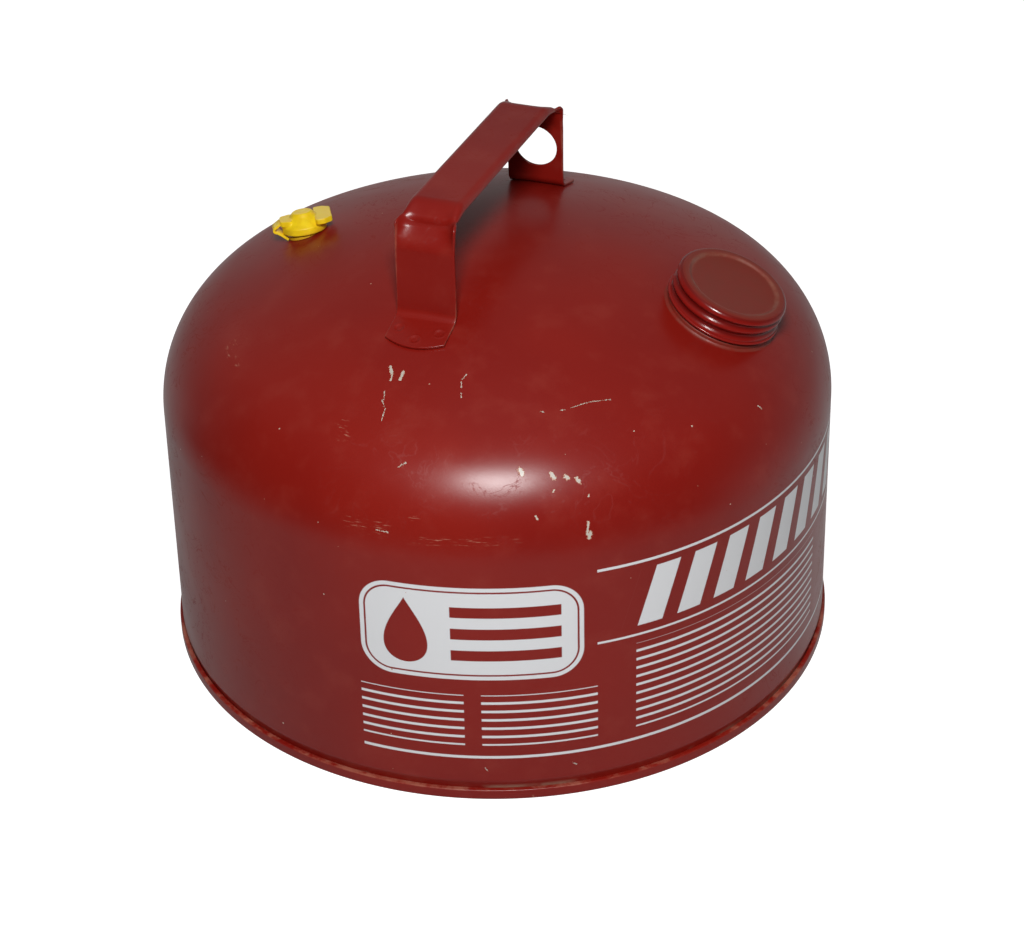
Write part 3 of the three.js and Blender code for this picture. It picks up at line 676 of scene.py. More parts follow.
# Marks on the body: angle round the can in degrees, tape measure down from the top's centre,
# slant from straight down in degrees, length and width
CHIPS = (
    (-95.3, 0.094, 32, 0.004, 0.0013),
    (-94.2, 0.0975, 12, 0.0026, 0.0008),
    (-92, 0.0955, 6, 0.0036, 0.0014),
    (-64.8, 0.1355, 23, 0.0016, 0.0021),
    (-59.5, 0.138, 26, 0.0018, 0.0018),
    (-57.2, 0.1395, 42, 0.001, 0.0018),
    (-55.4, 0.141, 28, 0.0018, 0.0015),
    (-59.7, 0.144, -31, 0.0007, 0.0009),
    (-54, 0.1475, -21, 0.0008, 0.0006),
    (-62.8, 0.1535, 20, 0.0014, 0.0009),
    (-54.8, 0.16, -10, 0.005, 0.001),
    (-54.6, 0.163, -10, 0.002, 0.0018),
)
SCRATCHES = (
    (-93.7, 0.1065, 20, 0.004, 0.0006),
    (-92.9, 0.1105, 40, 0.0045, 0.0006),
    (-92, 0.115, 6, 0.006, 0.0005),
    (-76.6, 0.0925, -31, 0.003, 0.0005),
    (-77, 0.0965, 7, 0.003, 0.0006),
    (-76.7, 0.1015, 10, 0.0024, 0.0004),
    (-59.4, 0.1105, 60, 0.0016, 0.0006),
    (-55, 0.111, 80, 0.0014, 0.0007),
    (-51.2, 0.11, 97, 0.008, 0.0005),
    (-46.7, 0.11, 83, 0.0085, 0.0005),
    (-85.4, 0.1345, 128, 0.0034, 0.0008),
    (-16, 0.14, 33, 0.0024, 0.0007),
    (-87.4, 0.1612, 88, 0.005, 0.0006),
    (-71.8, 0.272, 27, 0.0014, 0.0007),
    (-57.5, 0.272, 60, 0.002, 0.0006),
)
SCUFFS = (
    (-137, 0.1185, 10, 0.006, 0.009),
    (-133, 0.123, 100, 0.008, 0.006),
    (-98.5, 0.1255, 30, 0.006, 0.007),
    (-90, 0.1605, 92, 0.014, 0.009),
    (-82, 0.1545, 96, 0.004, 0.003),
    (-74.5, 0.1625, 92, 0.044, 0.005),
)
# Marks with broken outlines: the noise, its middle value and its strength
ROUGH_MARKS = ((CHIPS, RAGGED_NOISE, 0.5, 3.2), (SCRATCHES, BROKEN_NOISE, 0.44, 6.0))
UP = Vector((0, 0, 1))


def body_point(angle, tape):
    """A point of the body's outer surface, with its ways straight down and round the can."""
    crown = CROWN_RADIUS * CROWN_KNUCKLE_ANGLE
    knuckle = KNUCKLE_RADIUS * (pi / 2 - CROWN_KNUCKLE_ANGLE)
    if tape < crown:
        tilt = tape / CROWN_RADIUS
        distance = CROWN_RADIUS * sin(tilt)
        height = CROWN_CENTRE_HEIGHT + CROWN_RADIUS * cos(tilt)
    elif tape < crown + knuckle:
        tilt = CROWN_KNUCKLE_ANGLE + (tape - crown) / KNUCKLE_RADIUS
        distance = KNUCKLE_CENTRE + KNUCKLE_RADIUS * sin(tilt)
        height = SHOULDER_HEIGHT + KNUCKLE_RADIUS * cos(tilt)
    else:
        tilt = pi / 2
        height = SHOULDER_HEIGHT - (tape - crown - knuckle)
        distance = lerp(WALL_FOOT_RADIUS, SHOULDER_RADIUS, height / SHOULDER_HEIGHT)
    out = Vector((cos(angle), sin(angle), 0))
    sideways = Vector((-sin(angle), cos(angle), 0))
    return out * distance + UP * height, out * cos(tilt) - UP * sin(tilt), sideways


def mark_reach(graph, place, marks):
    """How far a point lies from the nearest mark's middle line: 1 is the mark's edge."""
    found = []
    for degrees, tape, slant, length, width in marks:
        middle, down, sideways = body_point(radians(degrees), tape)
        along = down * cos(radians(slant)) + sideways * sin(radians(slant))
        away = graph.from_line(place, middle, along, length)
        found.append(graph.math("DIVIDE", away, width / 2))
    return graph.least(*found)


def chip_reach(graph, place):
    """Ragged chips, broken scratches and small specks: under 1 the paint is gone."""
    found = []
    for marks, look, middle, strength in ROUGH_MARKS:
        rough = graph.minus(graph.noise(place, *look), middle)
        found.append(graph.math("MULTIPLY_ADD", rough, strength, mark_reach(graph, place, marks)))
    cells = graph.node("TexVoronoi", {"Vector": place, "Scale": 1 / SPECK_CELL}).outputs
    chance = graph.ramp(graph.parts(cells["Color"])[0], *SPECK_SHARES)
    size = graph.times(chance, SPECK_RADIUS / SPECK_CELL)
    return graph.least(*found, graph.math("DIVIDE", cells["Distance"], size))


def scuff_mask(graph, place, around, height):
    """Pale level streaks where something has rubbed the shoulder."""
    near = graph.ramp(mark_reach(graph, place, SCUFFS), *SCUFF_EDGE_SHARES)
    track = graph.node("CombineXYZ", {
        0: graph.times(around, 1 / SCUFF_LENGTH),
        1: graph.times(height, 1 / SCUFF_HEIGHT),
    }).outputs[0]
    return graph.times(near, graph.patches(track, *STREAK_PATCHES))


# Print on the wall: a badge with a plain drop and bars, rules, slanted bars and ruled lines.
# Places round the wall are measured from the badge's middle.
PRINT_RADIUS = 0.1436
PRINT_BLUR = 0.0002
BADGE_ANGLE = radians(-73.7)
BADGE_HEIGHT = 0.0815
BADGE_HALF = (0.045, 0.022)
BADGE_ROUND = 0.013
BADGE_LINE_INSET = 0.0018
BADGE_LINE_WIDTH = 0.0008
DROP_PLACE = -0.0262
DROP_HEIGHT = 0.031
DROP_HALF_WIDTH = 0.0108
DROP_FOOT_POWER = 0.5
DROP_TIP_POWER = 1.15
DROP_FULLNESS = 2.3
BADGE_BARS = ((-0.0128, -0.0078), (-0.0026, 0.0026), (0.0078, 0.0128))
BADGE_BARS_ENDS = (-0.008, 0.036)
PRINT_START = -0.046
PRINT_TURN = 0.0505
PRINT_END = 0.25
RULES = (
    (0.1066, 0.1078, PRINT_TURN, PRINT_END),
    (0.0722, 0.0732, PRINT_TURN, PRINT_END),
    (0.0202, 0.0215, PRINT_START, PRINT_END),
)
BARS_HEIGHTS = (0.077, 0.1035)
BAR_PITCH = 0.018
BARS_ENDS = (2 * BAR_PITCH, 12 * BAR_PITCH)
BAR_WIDTH = 0.0112
BAR_SLANT = 0.32
LINE_PITCH = 0.0042
LINE_WIDTH = 0.0012
LINED_BLOCKS = (
    (0.0268, 0.052, PRINT_START, -0.0035),
    (0.0268, 0.052, 0.0035, PRINT_TURN),
    (0.0268, 0.0685, 0.067, 0.18),
)


def inked(graph, value, low, high):
    """1 between two values, with a print's own soft edges."""
    return graph.band(value, low, high, PRINT_BLUR)


def print_box(graph, across, up, half_width, half_height, corner):
    """1 inside a rounded box round the origin."""
    outside = []
    for value, half in ((across, half_width), (up, half_height)):
        past = graph.most(graph.minus(graph.math("ABSOLUTE", value), half - corner), 0.0)
        outside.append(graph.times(past, past))
    reach = graph.math("SQRT", graph.plus(*outside))
    return graph.ramp(reach, corner + PRINT_BLUR, corner - PRINT_BLUR)


def print_drop(graph, along, rise):
    """A plain drop, round at its foot and pointed at its top."""
    up_share = graph.math("DIVIDE", graph.plus(rise, DROP_HEIGHT / 2), DROP_HEIGHT)
    bulge = graph.times(
        graph.math("POWER", graph.most(up_share, 0.0), DROP_FOOT_POWER),
        graph.math("POWER", graph.most(graph.minus(1.0, up_share), 0.0), DROP_TIP_POWER),
        DROP_FULLNESS * DROP_HALF_WIDTH,
    )
    past = graph.minus(graph.apart(along, DROP_PLACE), bulge)
    return graph.times(
        graph.ramp(past, -PRINT_BLUR, PRINT_BLUR, 1.0, 0.0),
        graph.math("GREATER_THAN", up_share, 0.0),
        graph.math("LESS_THAN", up_share, 1.0),
    )


def print_badge(graph, along, rise):
    """A white badge with a line inside its edge, a drop and three bars left red."""
    wide, high = BADGE_HALF
    insets = (0.0, BADGE_LINE_INSET, BADGE_LINE_INSET + BADGE_LINE_WIDTH)
    whole, line_out, line_in = [
        print_box(graph, along, rise, wide - inset, high - inset, BADGE_ROUND - inset)
        for inset in insets
    ]
    bars = graph.most(*[inked(graph, rise, low, high) for low, high in BADGE_BARS])
    bars = graph.times(bars, inked(graph, along, *BADGE_BARS_ENDS))
    left_red = graph.most(graph.minus(line_out, line_in), print_drop(graph, along, rise), bars)
    return graph.times(whole, graph.minus(1.0, left_red))


def print_mask(graph, place, angle, height):
    """Where the white print lies on the wall."""
    along = graph.times(graph.minus(angle, BADGE_ANGLE), PRINT_RADIUS)
    slanted = graph.math("MULTIPLY_ADD", height, -BAR_SLANT, along)
    lines = inked(graph, graph.phase(height, LINE_PITCH), LINE_WIDTH, 2 * LINE_WIDTH)
    bar = (BAR_PITCH - BAR_WIDTH, BAR_PITCH - PRINT_BLUR)
    found = [
        print_badge(graph, along, graph.minus(height, BADGE_HEIGHT)),
        graph.times(
            inked(graph, graph.phase(slanted, BAR_PITCH), *bar),
            inked(graph, height, *BARS_HEIGHTS),
            inked(graph, slanted, *BARS_ENDS),
        ),
    ]
    for blocks, ink in ((RULES, 1.0), (LINED_BLOCKS, lines)):
        for low, high, start, end in blocks:
            block = graph.times(inked(graph, height, low, high), inked(graph, along, start, end))
            found.append(graph.times(block, ink))
    return graph.times(graph.most(*found), graph.patches(place, *PRINT_WEAR_PATCHES))


def body_enamel():
    """Enamel of the drawn body, with its print, chips and scuffs."""
    made, graph, place = new_material("body_enamel")
    x, y, height = graph.parts(place)
    angle = graph.math("ARCTAN2", y, x)
    scuffs = scuff_mask(graph, place, graph.times(angle, PRINT_RADIUS), height)
    colour = graph.mix(scuffs, paint_colour(graph, place, BODY_DUST_SHARE), PRIMER)
    printed = print_mask(graph, place, angle, height)
    colour = graph.mix(graph.times(printed, PRINT_SHARE), colour, PRINT_WHITE)
    groove_top = CHIME_HEIGHT + GROOVE_DIRT_HEIGHT
    groove = graph.ramp(height, groove_top, CHIME_HEIGHT, 0.0, GROOVE_DIRT_SHARE)
    colour = graph.mix(graph.times(groove, graph.patches(place, *GROOVE_PATCHES)), colour, DUST)
    reach = chip_reach(graph, place)
    chips = graph.ramp(reach, *CHIP_EDGE_SHARES)
    colour = graph.mix(chips, colour, PRIMER)
    colour = graph.mix(graph.ramp(reach, *CHIP_MIDDLE_SHARES), colour, BARE_METAL)
    roughness = graph.math("MULTIPLY_ADD", scuffs, SCUFF_ROUGH_SHARE, paint_roughness(graph, place))
    painted(graph, colour, roughness, graph.bump(chips, *CHIP_BUMP, paint_bump(graph, place)))
    return made


def chime_wear(graph, place):
    """A thin worn line on the seam's upper edge and a few chips low on its face."""
    height = graph.parts(place)[2]
    edge = graph.ramp(height, CHIME_HEIGHT - CHIME_EDGE_WEAR, CHIME_HEIGHT, 0.0, CHIME_EDGE_SHARE)
    edge = graph.times(edge, graph.patches(place, *CHIME_EDGE_PATCHES))
    foot = graph.ramp(height, CHIME_HEIGHT / 2, 0.0, 0.0, CHIME_FOOT_SHARE)
    return graph.most(edge, graph.times(graph.patches(place, *CHIME_CHIP_PATCHES), foot))


def strap_wear(graph, place):
    """Paint rubbed thin on the strap's two long edges."""
    across = graph.apart(graph.parts(place)[0], STRAP_SHIFT)
    half = STRAP_WIDTH / 2
    edge = graph.ramp(across, half - STRAP_EDGE_WEAR, half, 0.0, STRAP_EDGE_SHARE)
    return graph.times(edge, graph.patches(place, *STRAP_EDGE_PATCHES))


def dirty_enamel(name):
    """Enamel under a film of brown dirt, on the neck and its fillet of solder."""
    made, graph, place = new_material(name)
    film = graph.patches(place, *NECK_DIRT_PATCHES)
    colour = graph.mix(film, paint_colour(graph, place, NECK_DUST_SHARE), DIRT_FILM)
    painted(graph, colour, graph.ramp(film, *DIRT_ROUGH_SHARES), paint_bump(graph, place))
    return made


CAP_RED = shade(128, 22, 17)
# Painted shade: a darker red for the cap's thread grooves
CAP_GROOVE_SHADE = shade(84, 10, 8)


def cap_enamel():
    """Glossy enamel on the cap's skirt, with painted shade in its thread grooves, and an even film of
    brown dirt on its top.
    """
    made, graph, place = new_material("cap_enamel")
    x, y, height = graph.parts(place)
    reach = graph.math("SQRT", graph.plus(graph.times(x, x), graph.times(y, y)))
    rim_edge = CAP_SKIRT_RADIUS - CAP_SHOULDER_RADIUS / 5
    top = graph.times(
        graph.ramp(reach, rim_edge, CAP_SKIRT_RADIUS - CAP_SHOULDER_RADIUS),
        graph.math("GREATER_THAN", height, CAP_TOP_HEIGHT - CAP_SHOULDER_RADIUS),
    )
    groove_foot = CAP_SKIRT_RADIUS - THREAD_DEPTH
    # Painted shade: darker red down in the thread grooves, darkest at their foot
    deep = graph.ramp(reach, groove_foot, CAP_SKIRT_RADIUS, CAP_GROOVE_SHADE_SHARE, 0.0)
    slope = (CAP_PANEL_RADIUS, CAP_PANEL_RADIUS + CAP_PANEL_SLOPE)
    corner = graph.band(reach, *slope, CAP_PANEL_SLOPE / 2)
    patch = graph.noise(place, *CAP_RUB_NOISE)
    film = graph.times(top, graph.ramp(patch, *CAP_FILM_SHARES))
    colour = graph.mix(graph.times(deep, graph.minus(1.0, top)), CAP_RED, CAP_GROOVE_SHADE)
    colour = graph.mix(film, colour, DIRT_FILM)
    colour = graph.mix(graph.times(corner, top, graph.ramp(patch, *CAP_DUST_SHARES)), colour, DUST)
    painted(graph, colour, graph.ramp(film, *CAP_ROUGH_SHARES), paint_bump(graph, place))
    return made


PLASTIC_YELLOW = shade(240, 206, 16)
PLASTIC_SHADE = shade(228, 190, 14)
# Painted light: a pale yellow laid on the vent's upward faces
PLASTIC_TOP_LIGHT = shade(250, 216, 84)
# Brown for real grime spots, and for painted shade low on the vent
PLASTIC_GRIME_AND_SHADE = shade(176, 116, 30)
PLASTIC_CLOUD_NOISE = (MOTTLE_SIZE / 3, 3.0)
PLASTIC_GRAIN_NOISE = (0.0006, 2.0)
PLASTIC_LIGHT_REACH = (0.004, 0.002, 0.0005)


def yellow_plastic():
    """Moulded plastic, a little scuffed, with grime spots, painted light on its top faces and painted
    shade low down.
    """
    made, graph, place = new_material("yellow_plastic")
    cloud = graph.noise(place, *PLASTIC_CLOUD_NOISE)
    colour = graph.mix(graph.ramp(cloud, *TONE_SHARES), PLASTIC_SHADE, PLASTIC_YELLOW)
    facing = graph.parts(graph.node("TexCoord").outputs["Normal"])[2]
    # Painted light: faces turned up are made paler, as if lit from overhead
    colour = graph.mix(graph.ramp(facing, *TOP_LIGHT_SHARES), colour, PLASTIC_TOP_LIGHT)
    # Painted shade: darker towards the bottom, near the dome; the patches are real grime spots
    low = graph.ramp(graph.parts(place)[2], 0.0, VENT_CUP_BOTTOM * 2, PLASTIC_LOW_SHADE_SHARE, 0.0)
    grime_and_low_shade = graph.most(low, graph.patches(place, *PLASTIC_SPOT_PATCHES))
    graph.surface({
        "Base Color": graph.mix(grime_and_low_shade, colour, PLASTIC_GRIME_AND_SHADE),
        "Roughness": graph.ramp(cloud, *PLASTIC_ROUGH_SHARES),
        "Specular IOR Level": PLASTIC_GLOSS_SHARE,
        "Subsurface Weight": PLASTIC_DEPTH_SHARE,
        "Subsurface Radius": PLASTIC_LIGHT_REACH,
        "Normal": graph.bump(graph.noise(place, *PLASTIC_GRAIN_NOISE), *PLASTIC_BUMP),
    })
    return made


def dull_stuff(name, tones, rough_shares, grain, bump):
    """A dull material, mottled between two tones."""
    made, graph, place = new_material(name)
    cloud = graph.noise(place, *SMALL_MOTTLE_NOISE)
    graph.surface({
        "Base Color": graph.mix(graph.ramp(cloud, *TONE_SHARES), *tones),
        "Roughness": graph.ramp(cloud, *rough_shares),
        "Normal": graph.bump(graph.noise(place, *grain), *bump),
    })
    return made


def rubber():
    """Fuel-stained rubber of the washer."""
    tones = (shade(22, 22, 22), shade(52, 46, 40))
    return dull_stuff("washer_rubber", tones, RUBBER_ROUGH_SHARES, GRAIN_NOISE, RUBBER_BUMP)


def compound():
    """Sealing compound inside the bottom seam."""
    tones = (shade(98, 92, 84), shade(126, 120, 110))
    looks = (COMPOUND_ROUGH_SHARES, SMALL_MOTTLE_NOISE, COMPOUND_BUMP)
    return dull_stuff("seam_sealant", tones, *looks)


# Pieces


def dome_profile(depth):
    tangent = pi / 2 - CROWN_KNUCKLE_ANGLE
    knuckle = arc(KNUCKLE_CENTRE, SHOULDER_HEIGHT, KNUCKLE_RADIUS - depth, 0, tangent, DOME_STEPS)
    crown = arc(0, CROWN_CENTRE_HEIGHT, CROWN_RADIUS - depth, tangent, pi / 2, DOME_STEPS)
    crown[-1] = (0.0, crown[-1][1])
    return [*knuckle, *crown[1:]]


def wall_profile(depth):
    """The wall above the seam, from its pull-in up to the shoulder, moved in by a depth."""
    top = (WALL_FOOT_RADIUS - depth, CHIME_HEIGHT + WALL_PULL_IN)
    return eased_out((SEAM_WALL_RADIUS - depth, CHIME_HEIGHT), top)


def drawn_body(finish):
    """Drawn shell: wall, dome and the hook at its foot, with holes for the neck and the vent."""
    hook_inside = BODY_HOOK_RADIUS - BODY_SHEET
    fold_top = BODY_HOOK_BOTTOM + BODY_SHEET
    hook = [
        (SEAM_WALL_RADIUS - BODY_SHEET, fold_top),
        (SEAM_WALL_RADIUS, BODY_HOOK_BOTTOM),
        (hook_inside, BODY_HOOK_BOTTOM),
        (BODY_HOOK_RADIUS, fold_top),
        (BODY_HOOK_RADIUS, BODY_HOOK_TOP),
        (hook_inside, BODY_HOOK_TOP),
        (hook_inside, fold_top),
        (SEAM_WALL_RADIUS, fold_top),
    ]
    profile = [
        *wall_profile(0),
        *dome_profile(0),
        *reversed(dome_profile(BODY_SHEET)),
        *reversed(wall_profile(BODY_SHEET)),
        *hook,
    ]
    body = lathe("can_body", profile, BODY_SEGMENTS)
    holes = (
        (FILLER_PLACE, NECK_BORE_RADIUS + SEAT_GAP, NECK_SEGMENTS),
        (VENT_PLACE, BUSH_HOLE_RADIUS, VENT_SEGMENTS),
    )
    for place, radius, segments in holes:
        deep = 2 * CUT_OVERRUN
        profile = [(0, -deep), (radius, -deep), (radius, deep), (0, deep)]
        tool = lathe("hole_tool", profile, segments)
        tool.matrix_world = place
        combine(body, tool, "DIFFERENCE")
    return dress(body, finish, "can", ["body_shell"])


def bottom(finish):
    """Pan with its pressed panel and the fold that grips the body's hook."""
    inner = PAN_WALL_RADIUS - BODY_SHEET
    step_out = inner - PANEL_RIM_WIDTH
    step_in = step_out - PANEL_STEP_WIDTH
    top = PANEL_HEIGHT + BODY_SHEET
    hook_foot = BODY_HOOK_BOTTOM + BODY_SHEET + SEAM_GAP
    hook_inside = PAN_HOOK_RADIUS - BODY_SHEET
    chime_inside = CHIME_RADIUS - BODY_SHEET
    fold_under = CHIME_HEIGHT - BODY_SHEET
    profile = rounded([
        (0, PANEL_HEIGHT + PANEL_STEP, 0),
        (step_in, PANEL_HEIGHT + PANEL_STEP, PANEL_STEP),
        (step_out, PANEL_HEIGHT, PANEL_STEP),
        (inner, PANEL_HEIGHT, PANEL_CORNER),
        (inner, 0, CHIME_BEND),
        (CHIME_RADIUS, 0, CHIME_BEND),
        (CHIME_RADIUS, CHIME_HEIGHT, BODY_SHEET),
        (hook_inside, CHIME_HEIGHT, BODY_SHEET / 2),
        (hook_inside, hook_foot, 0),
        (PAN_HOOK_RADIUS, hook_foot, 0),
        (PAN_HOOK_RADIUS, fold_under, 0),
        (chime_inside, fold_under, 0),
        (chime_inside, BODY_SHEET, 0),
        (PAN_WALL_RADIUS, BODY_SHEET, 0),
        (PAN_WALL_RADIUS, top, PANEL_CORNER),
        (step_out, top, PANEL_STEP),
        (step_in, top + PANEL_STEP, PANEL_STEP),
        (0, top + PANEL_STEP, 0),
    ])
    pan = lathe("can_bottom", profile, BODY_SEGMENTS)
    return dress(pan, finish, "can", ["bottom_pan"])


def thread_depth(thread, angle, height):
    """Depth of a rolled thread, given by its start, first height and turns, at a point."""
    start, start_height, turns = thread
    share = 0
    travel = (angle - start) % TURN
    while travel <= turns * TURN:
        centre = start_height + THREAD_PITCH * travel / TURN
        distance = min(abs(height - centre) / (THREAD_PITCH / 2), 1)
        fade = smooth(min(travel, turns * TURN - travel), 0, THREAD_RUN_OUT)
        share = max(share, fade * (1 + cos(pi * distance)) / 2)
        travel += TURN
    return THREAD_DEPTH * share


def thread_rows(low, high):
    count = ceil((high - low) / THREAD_ROW)
    return [lerp(low, high, i / count) for i in range(count + 1)]


def neck(finish):
    """Neck with its rolled thread and lip, on a flange whose edge is turned down."""
    underside = NECK_FLANGE_HEIGHT - NECK_SHEET
    edge_inside = NECK_FLANGE_RADIUS - NECK_SHEET
    rows = thread_rows(NECK_FLANGE_HEIGHT + NECK_FLANGE_BEND, NECK_LIP_HEIGHT - NECK_SHEET / 2)
    rise = NECK_THREAD_HEIGHT - CAP_GROOVE_HEIGHT - THREAD_PITCH / 2
    start = CAP_GROOVE_START + TURN * rise / THREAD_PITCH
    thread = (start, NECK_THREAD_HEIGHT, NECK_THREAD_TURNS)
    lip = arc(NECK_BORE_RADIUS + NECK_SHEET / 2, rows[-1], NECK_SHEET / 2, 0, pi)
    edge_centre = (NECK_FLANGE_RADIUS - NECK_FLANGE_EDGE, NECK_FLANGE_HEIGHT - NECK_FLANGE_EDGE)
    edge = arc(*edge_centre, NECK_FLANGE_EDGE, 0, pi / 2)
    bend_centre = (NECK_ROOT_RADIUS + NECK_FLANGE_BEND, NECK_FLANGE_HEIGHT + NECK_FLANGE_BEND)
    bend = arc(*bend_centre, NECK_FLANGE_BEND, pi, 3 * pi / 2)

    def profile_at(angle):
        push = partial(thread_depth, thread, angle)
        x, y = cos(angle), sin(angle)
        foot = dome_under(FILLER_PLACE, NECK_FLANGE_RADIUS * x, NECK_FLANGE_RADIUS * y)
        foot_inside = dome_under(FILLER_PLACE, edge_inside * x, edge_inside * y)
        return [
            (edge_inside, foot_inside + TOUCH),
            (NECK_FLANGE_RADIUS, foot + TOUCH),
            *edge,
            *reversed(bend),
            *[(NECK_ROOT_RADIUS + push(height), height) for height in rows[1:]],
            *lip[1:-1],
            *[(NECK_BORE_RADIUS + push(height), height) for height in reversed(rows)],
            (NECK_BORE_RADIUS + NECK_FLANGE_BEND, underside),
            (edge_inside, underside),
        ]

    made = revolved("can_neck", profile_at, NECK_SEGMENTS)
    return dress(made, finish, "can", ["filler_neck"], FILLER_PLACE)


def solder(finish):
    """Hand-run fillet of solder round the flange's edge, lying on the dome."""

    def profile_at(angle):
        x, y = cos(angle), sin(angle)
        round_ring = Vector((x, y, 0)) * NECK_FLANGE_RADIUS
        ripple = SOLDER_RIPPLE * noise.noise(round_ring / SOLDER_RIPPLE_LENGTH)
        inner = NECK_FLANGE_RADIUS - TOUCH
        outer = NECK_FLANGE_RADIUS + SEAT_GAP + SOLDER_WIDTH + ripple
        low = dome_under(FILLER_PLACE, inner * x, inner * y)
        foot = dome_under(FILLER_PLACE, outer * x, outer * y)
        high = low + SOLDER_HEIGHT * SOLDER_TOP_SHARE + ripple
        curve = []
        for k in range(ARC_STEPS + 1):
            share = k / ARC_STEPS
            hollow = (1 - share) ** 2
            curve.append((lerp(inner, outer, share), lerp(foot + TOUCH, high, hollow)))
        return [(inner, low - TOUCH), *curve, (outer, foot - TOUCH)]

    made = revolved("can_solder", profile_at, NECK_SEGMENTS)
    return dress(made, finish, "can", ["neck_solder"], FILLER_PLACE)


def screw_cap(finish):
    """Screw cap: recessed panel, rounded rim, skirt with its rolled thread, curled edge."""
    shoulder_bottom = CAP_TOP_HEIGHT - CAP_SHOULDER_RADIUS
    shoulder_centre = CAP_SKIRT_RADIUS - CAP_SHOULDER_RADIUS
    panel_top = CAP_TOP_HEIGHT - CAP_PANEL_DEPTH
    rows = thread_rows(CAP_EDGE_HEIGHT + 2 * CAP_CURL, shoulder_bottom)
    curl = arc(CAP_SKIRT_RADIUS, CAP_EDGE_HEIGHT + CAP_CURL, CAP_CURL, -pi / 2, pi / 2)
    upright = pi / 2
    groove = (CAP_GROOVE_START, CAP_GROOVE_HEIGHT, CAP_GROOVE_TURNS)

    def profile_at(angle):
        pull = partial(thread_depth, groove, angle)
        inside_radius = CAP_SHOULDER_RADIUS - CAP_SHEET
        slope_end = CAP_PANEL_RADIUS + CAP_PANEL_SLOPE
        return [
            (0, CAP_INNER_TOP),
            *eased((CAP_PANEL_RADIUS, CAP_INNER_TOP), (slope_end, CAP_TOP_HEIGHT - CAP_SHEET)),
            *reversed(arc(shoulder_centre, shoulder_bottom, inside_radius, 0, upright)),
            *[(CAP_SKIRT_RADIUS - CAP_SHEET - pull(z), z) for z in reversed(rows[:-1])],
            (CAP_SKIRT_RADIUS - CAP_SHEET, CAP_EDGE_HEIGHT),
            *curl[:-1],
            *[(CAP_SKIRT_RADIUS - pull(z), z) for z in rows],
            *arc(shoulder_centre, shoulder_bottom, CAP_SHOULDER_RADIUS, 0, upright, 2 * ARC_STEPS)[1:],
            *reversed(eased((CAP_PANEL_RADIUS, panel_top), (slope_end, CAP_TOP_HEIGHT))),
            (0, panel_top),
        ]

    made = revolved("can_screw_cap", profile_at, NECK_SEGMENTS)
    return dress(made, finish, "screw_cap", ["filler_cap"], FILLER_PLACE)


def washer(finish):
    """Flat rubber washer under the cap's panel."""
    high = CAP_INNER_TOP - SEAT_GAP
    low = high - GASKET_THICKNESS
    outer = CAP_SKIRT_RADIUS - CAP_SHEET - THREAD_DEPTH - SEAT_GAP
    inner = outer - GASKET_WIDTH
    profile = rounded([
        (inner, low, SEAT_GAP),
        (outer, low, SEAT_GAP),
        (outer, high, SEAT_GAP),
        (inner, high, SEAT_GAP),
    ])
    made = lathe("cap_washer", profile, NECK_SEGMENTS)
    return dress(made, finish, "gasket", ["cap_gasket"], FILLER_PLACE)


FOOT_REACH = LEG_SPREAD_AT_FOOT + FOOT_LENGTH
GRIP_HEIGHT = dome_height(0) + HAND_ROOM + STRAP_SHEET
GRIP_MIDDLE_HEIGHT = GRIP_HEIGHT - STRAP_SHEET / 2
SPOUT_HOLE_HEIGHT = GRIP_HEIGHT - SPOUT_HOLE_DROP


def strap_line():
    """The strap's middle line in the YZ plane: points, outward normals and lengths so far."""
    lift = SEAT_GAP + STRAP_SHEET / 2
    half = [
        Vector((-FOOT_REACH, dome_height(FOOT_REACH) + lift)),
        Vector((-LEG_SPREAD_AT_FOOT, dome_height(LEG_SPREAD_AT_FOOT) + lift)),
        Vector((-LEG_SPREAD_AT_GRIP, GRIP_MIDDLE_HEIGHT)),
    ]
    corners = [*half, *[Vector((-p.x, p.y)) for p in reversed(half)]]
    radii = [0, FOOT_BEND_RADIUS, GRIP_BEND_RADIUS, GRIP_BEND_RADIUS, FOOT_BEND_RADIUS, 0]
    points = []
    straight_start = corners[0]
    for i in range(1, len(corners) - 1):
        inward = (corners[i] - corners[i - 1]).normalized()
        outward = (corners[i + 1] - corners[i]).normalized()
        bend = atan2(inward.cross(outward), inward.dot(outward))
        cut = radii[i] * tan(abs(bend) / 2)
        arc_start = corners[i] - inward * cut
        count = ceil((arc_start - straight_start).length / STRAP_ROW)
        points += [straight_start.lerp(arc_start, k / count) for k in range(count)]
        to_centre = Vector((-inward.y, inward.x)) * radii[i] * copysign(1, bend)
        centre = arc_start + to_centre
        count = 2 * ceil(radii[i] * abs(bend) / STRAP_ROW)
        for k in range(count):
            spoke = Matrix.Rotation(bend * k / count, 2) @ (arc_start - centre)
            points.append(centre + spoke)
        straight_start = corners[i] + outward * cut
    count = ceil((corners[-1] - straight_start).length / STRAP_ROW)
    points += [straight_start.lerp(corners[-1], k / count) for k in range(count + 1)]
    line = []
    length = 0.0
    for i, point in enumerate(points):
        before = points[max(i - 1, 0)]
        after = points[min(i + 1, len(points) - 1)]
        length += (point - before).length
        along = (after - before).normalized()
        line.append((point, Vector((-along.y, along.x)), length))
    return line


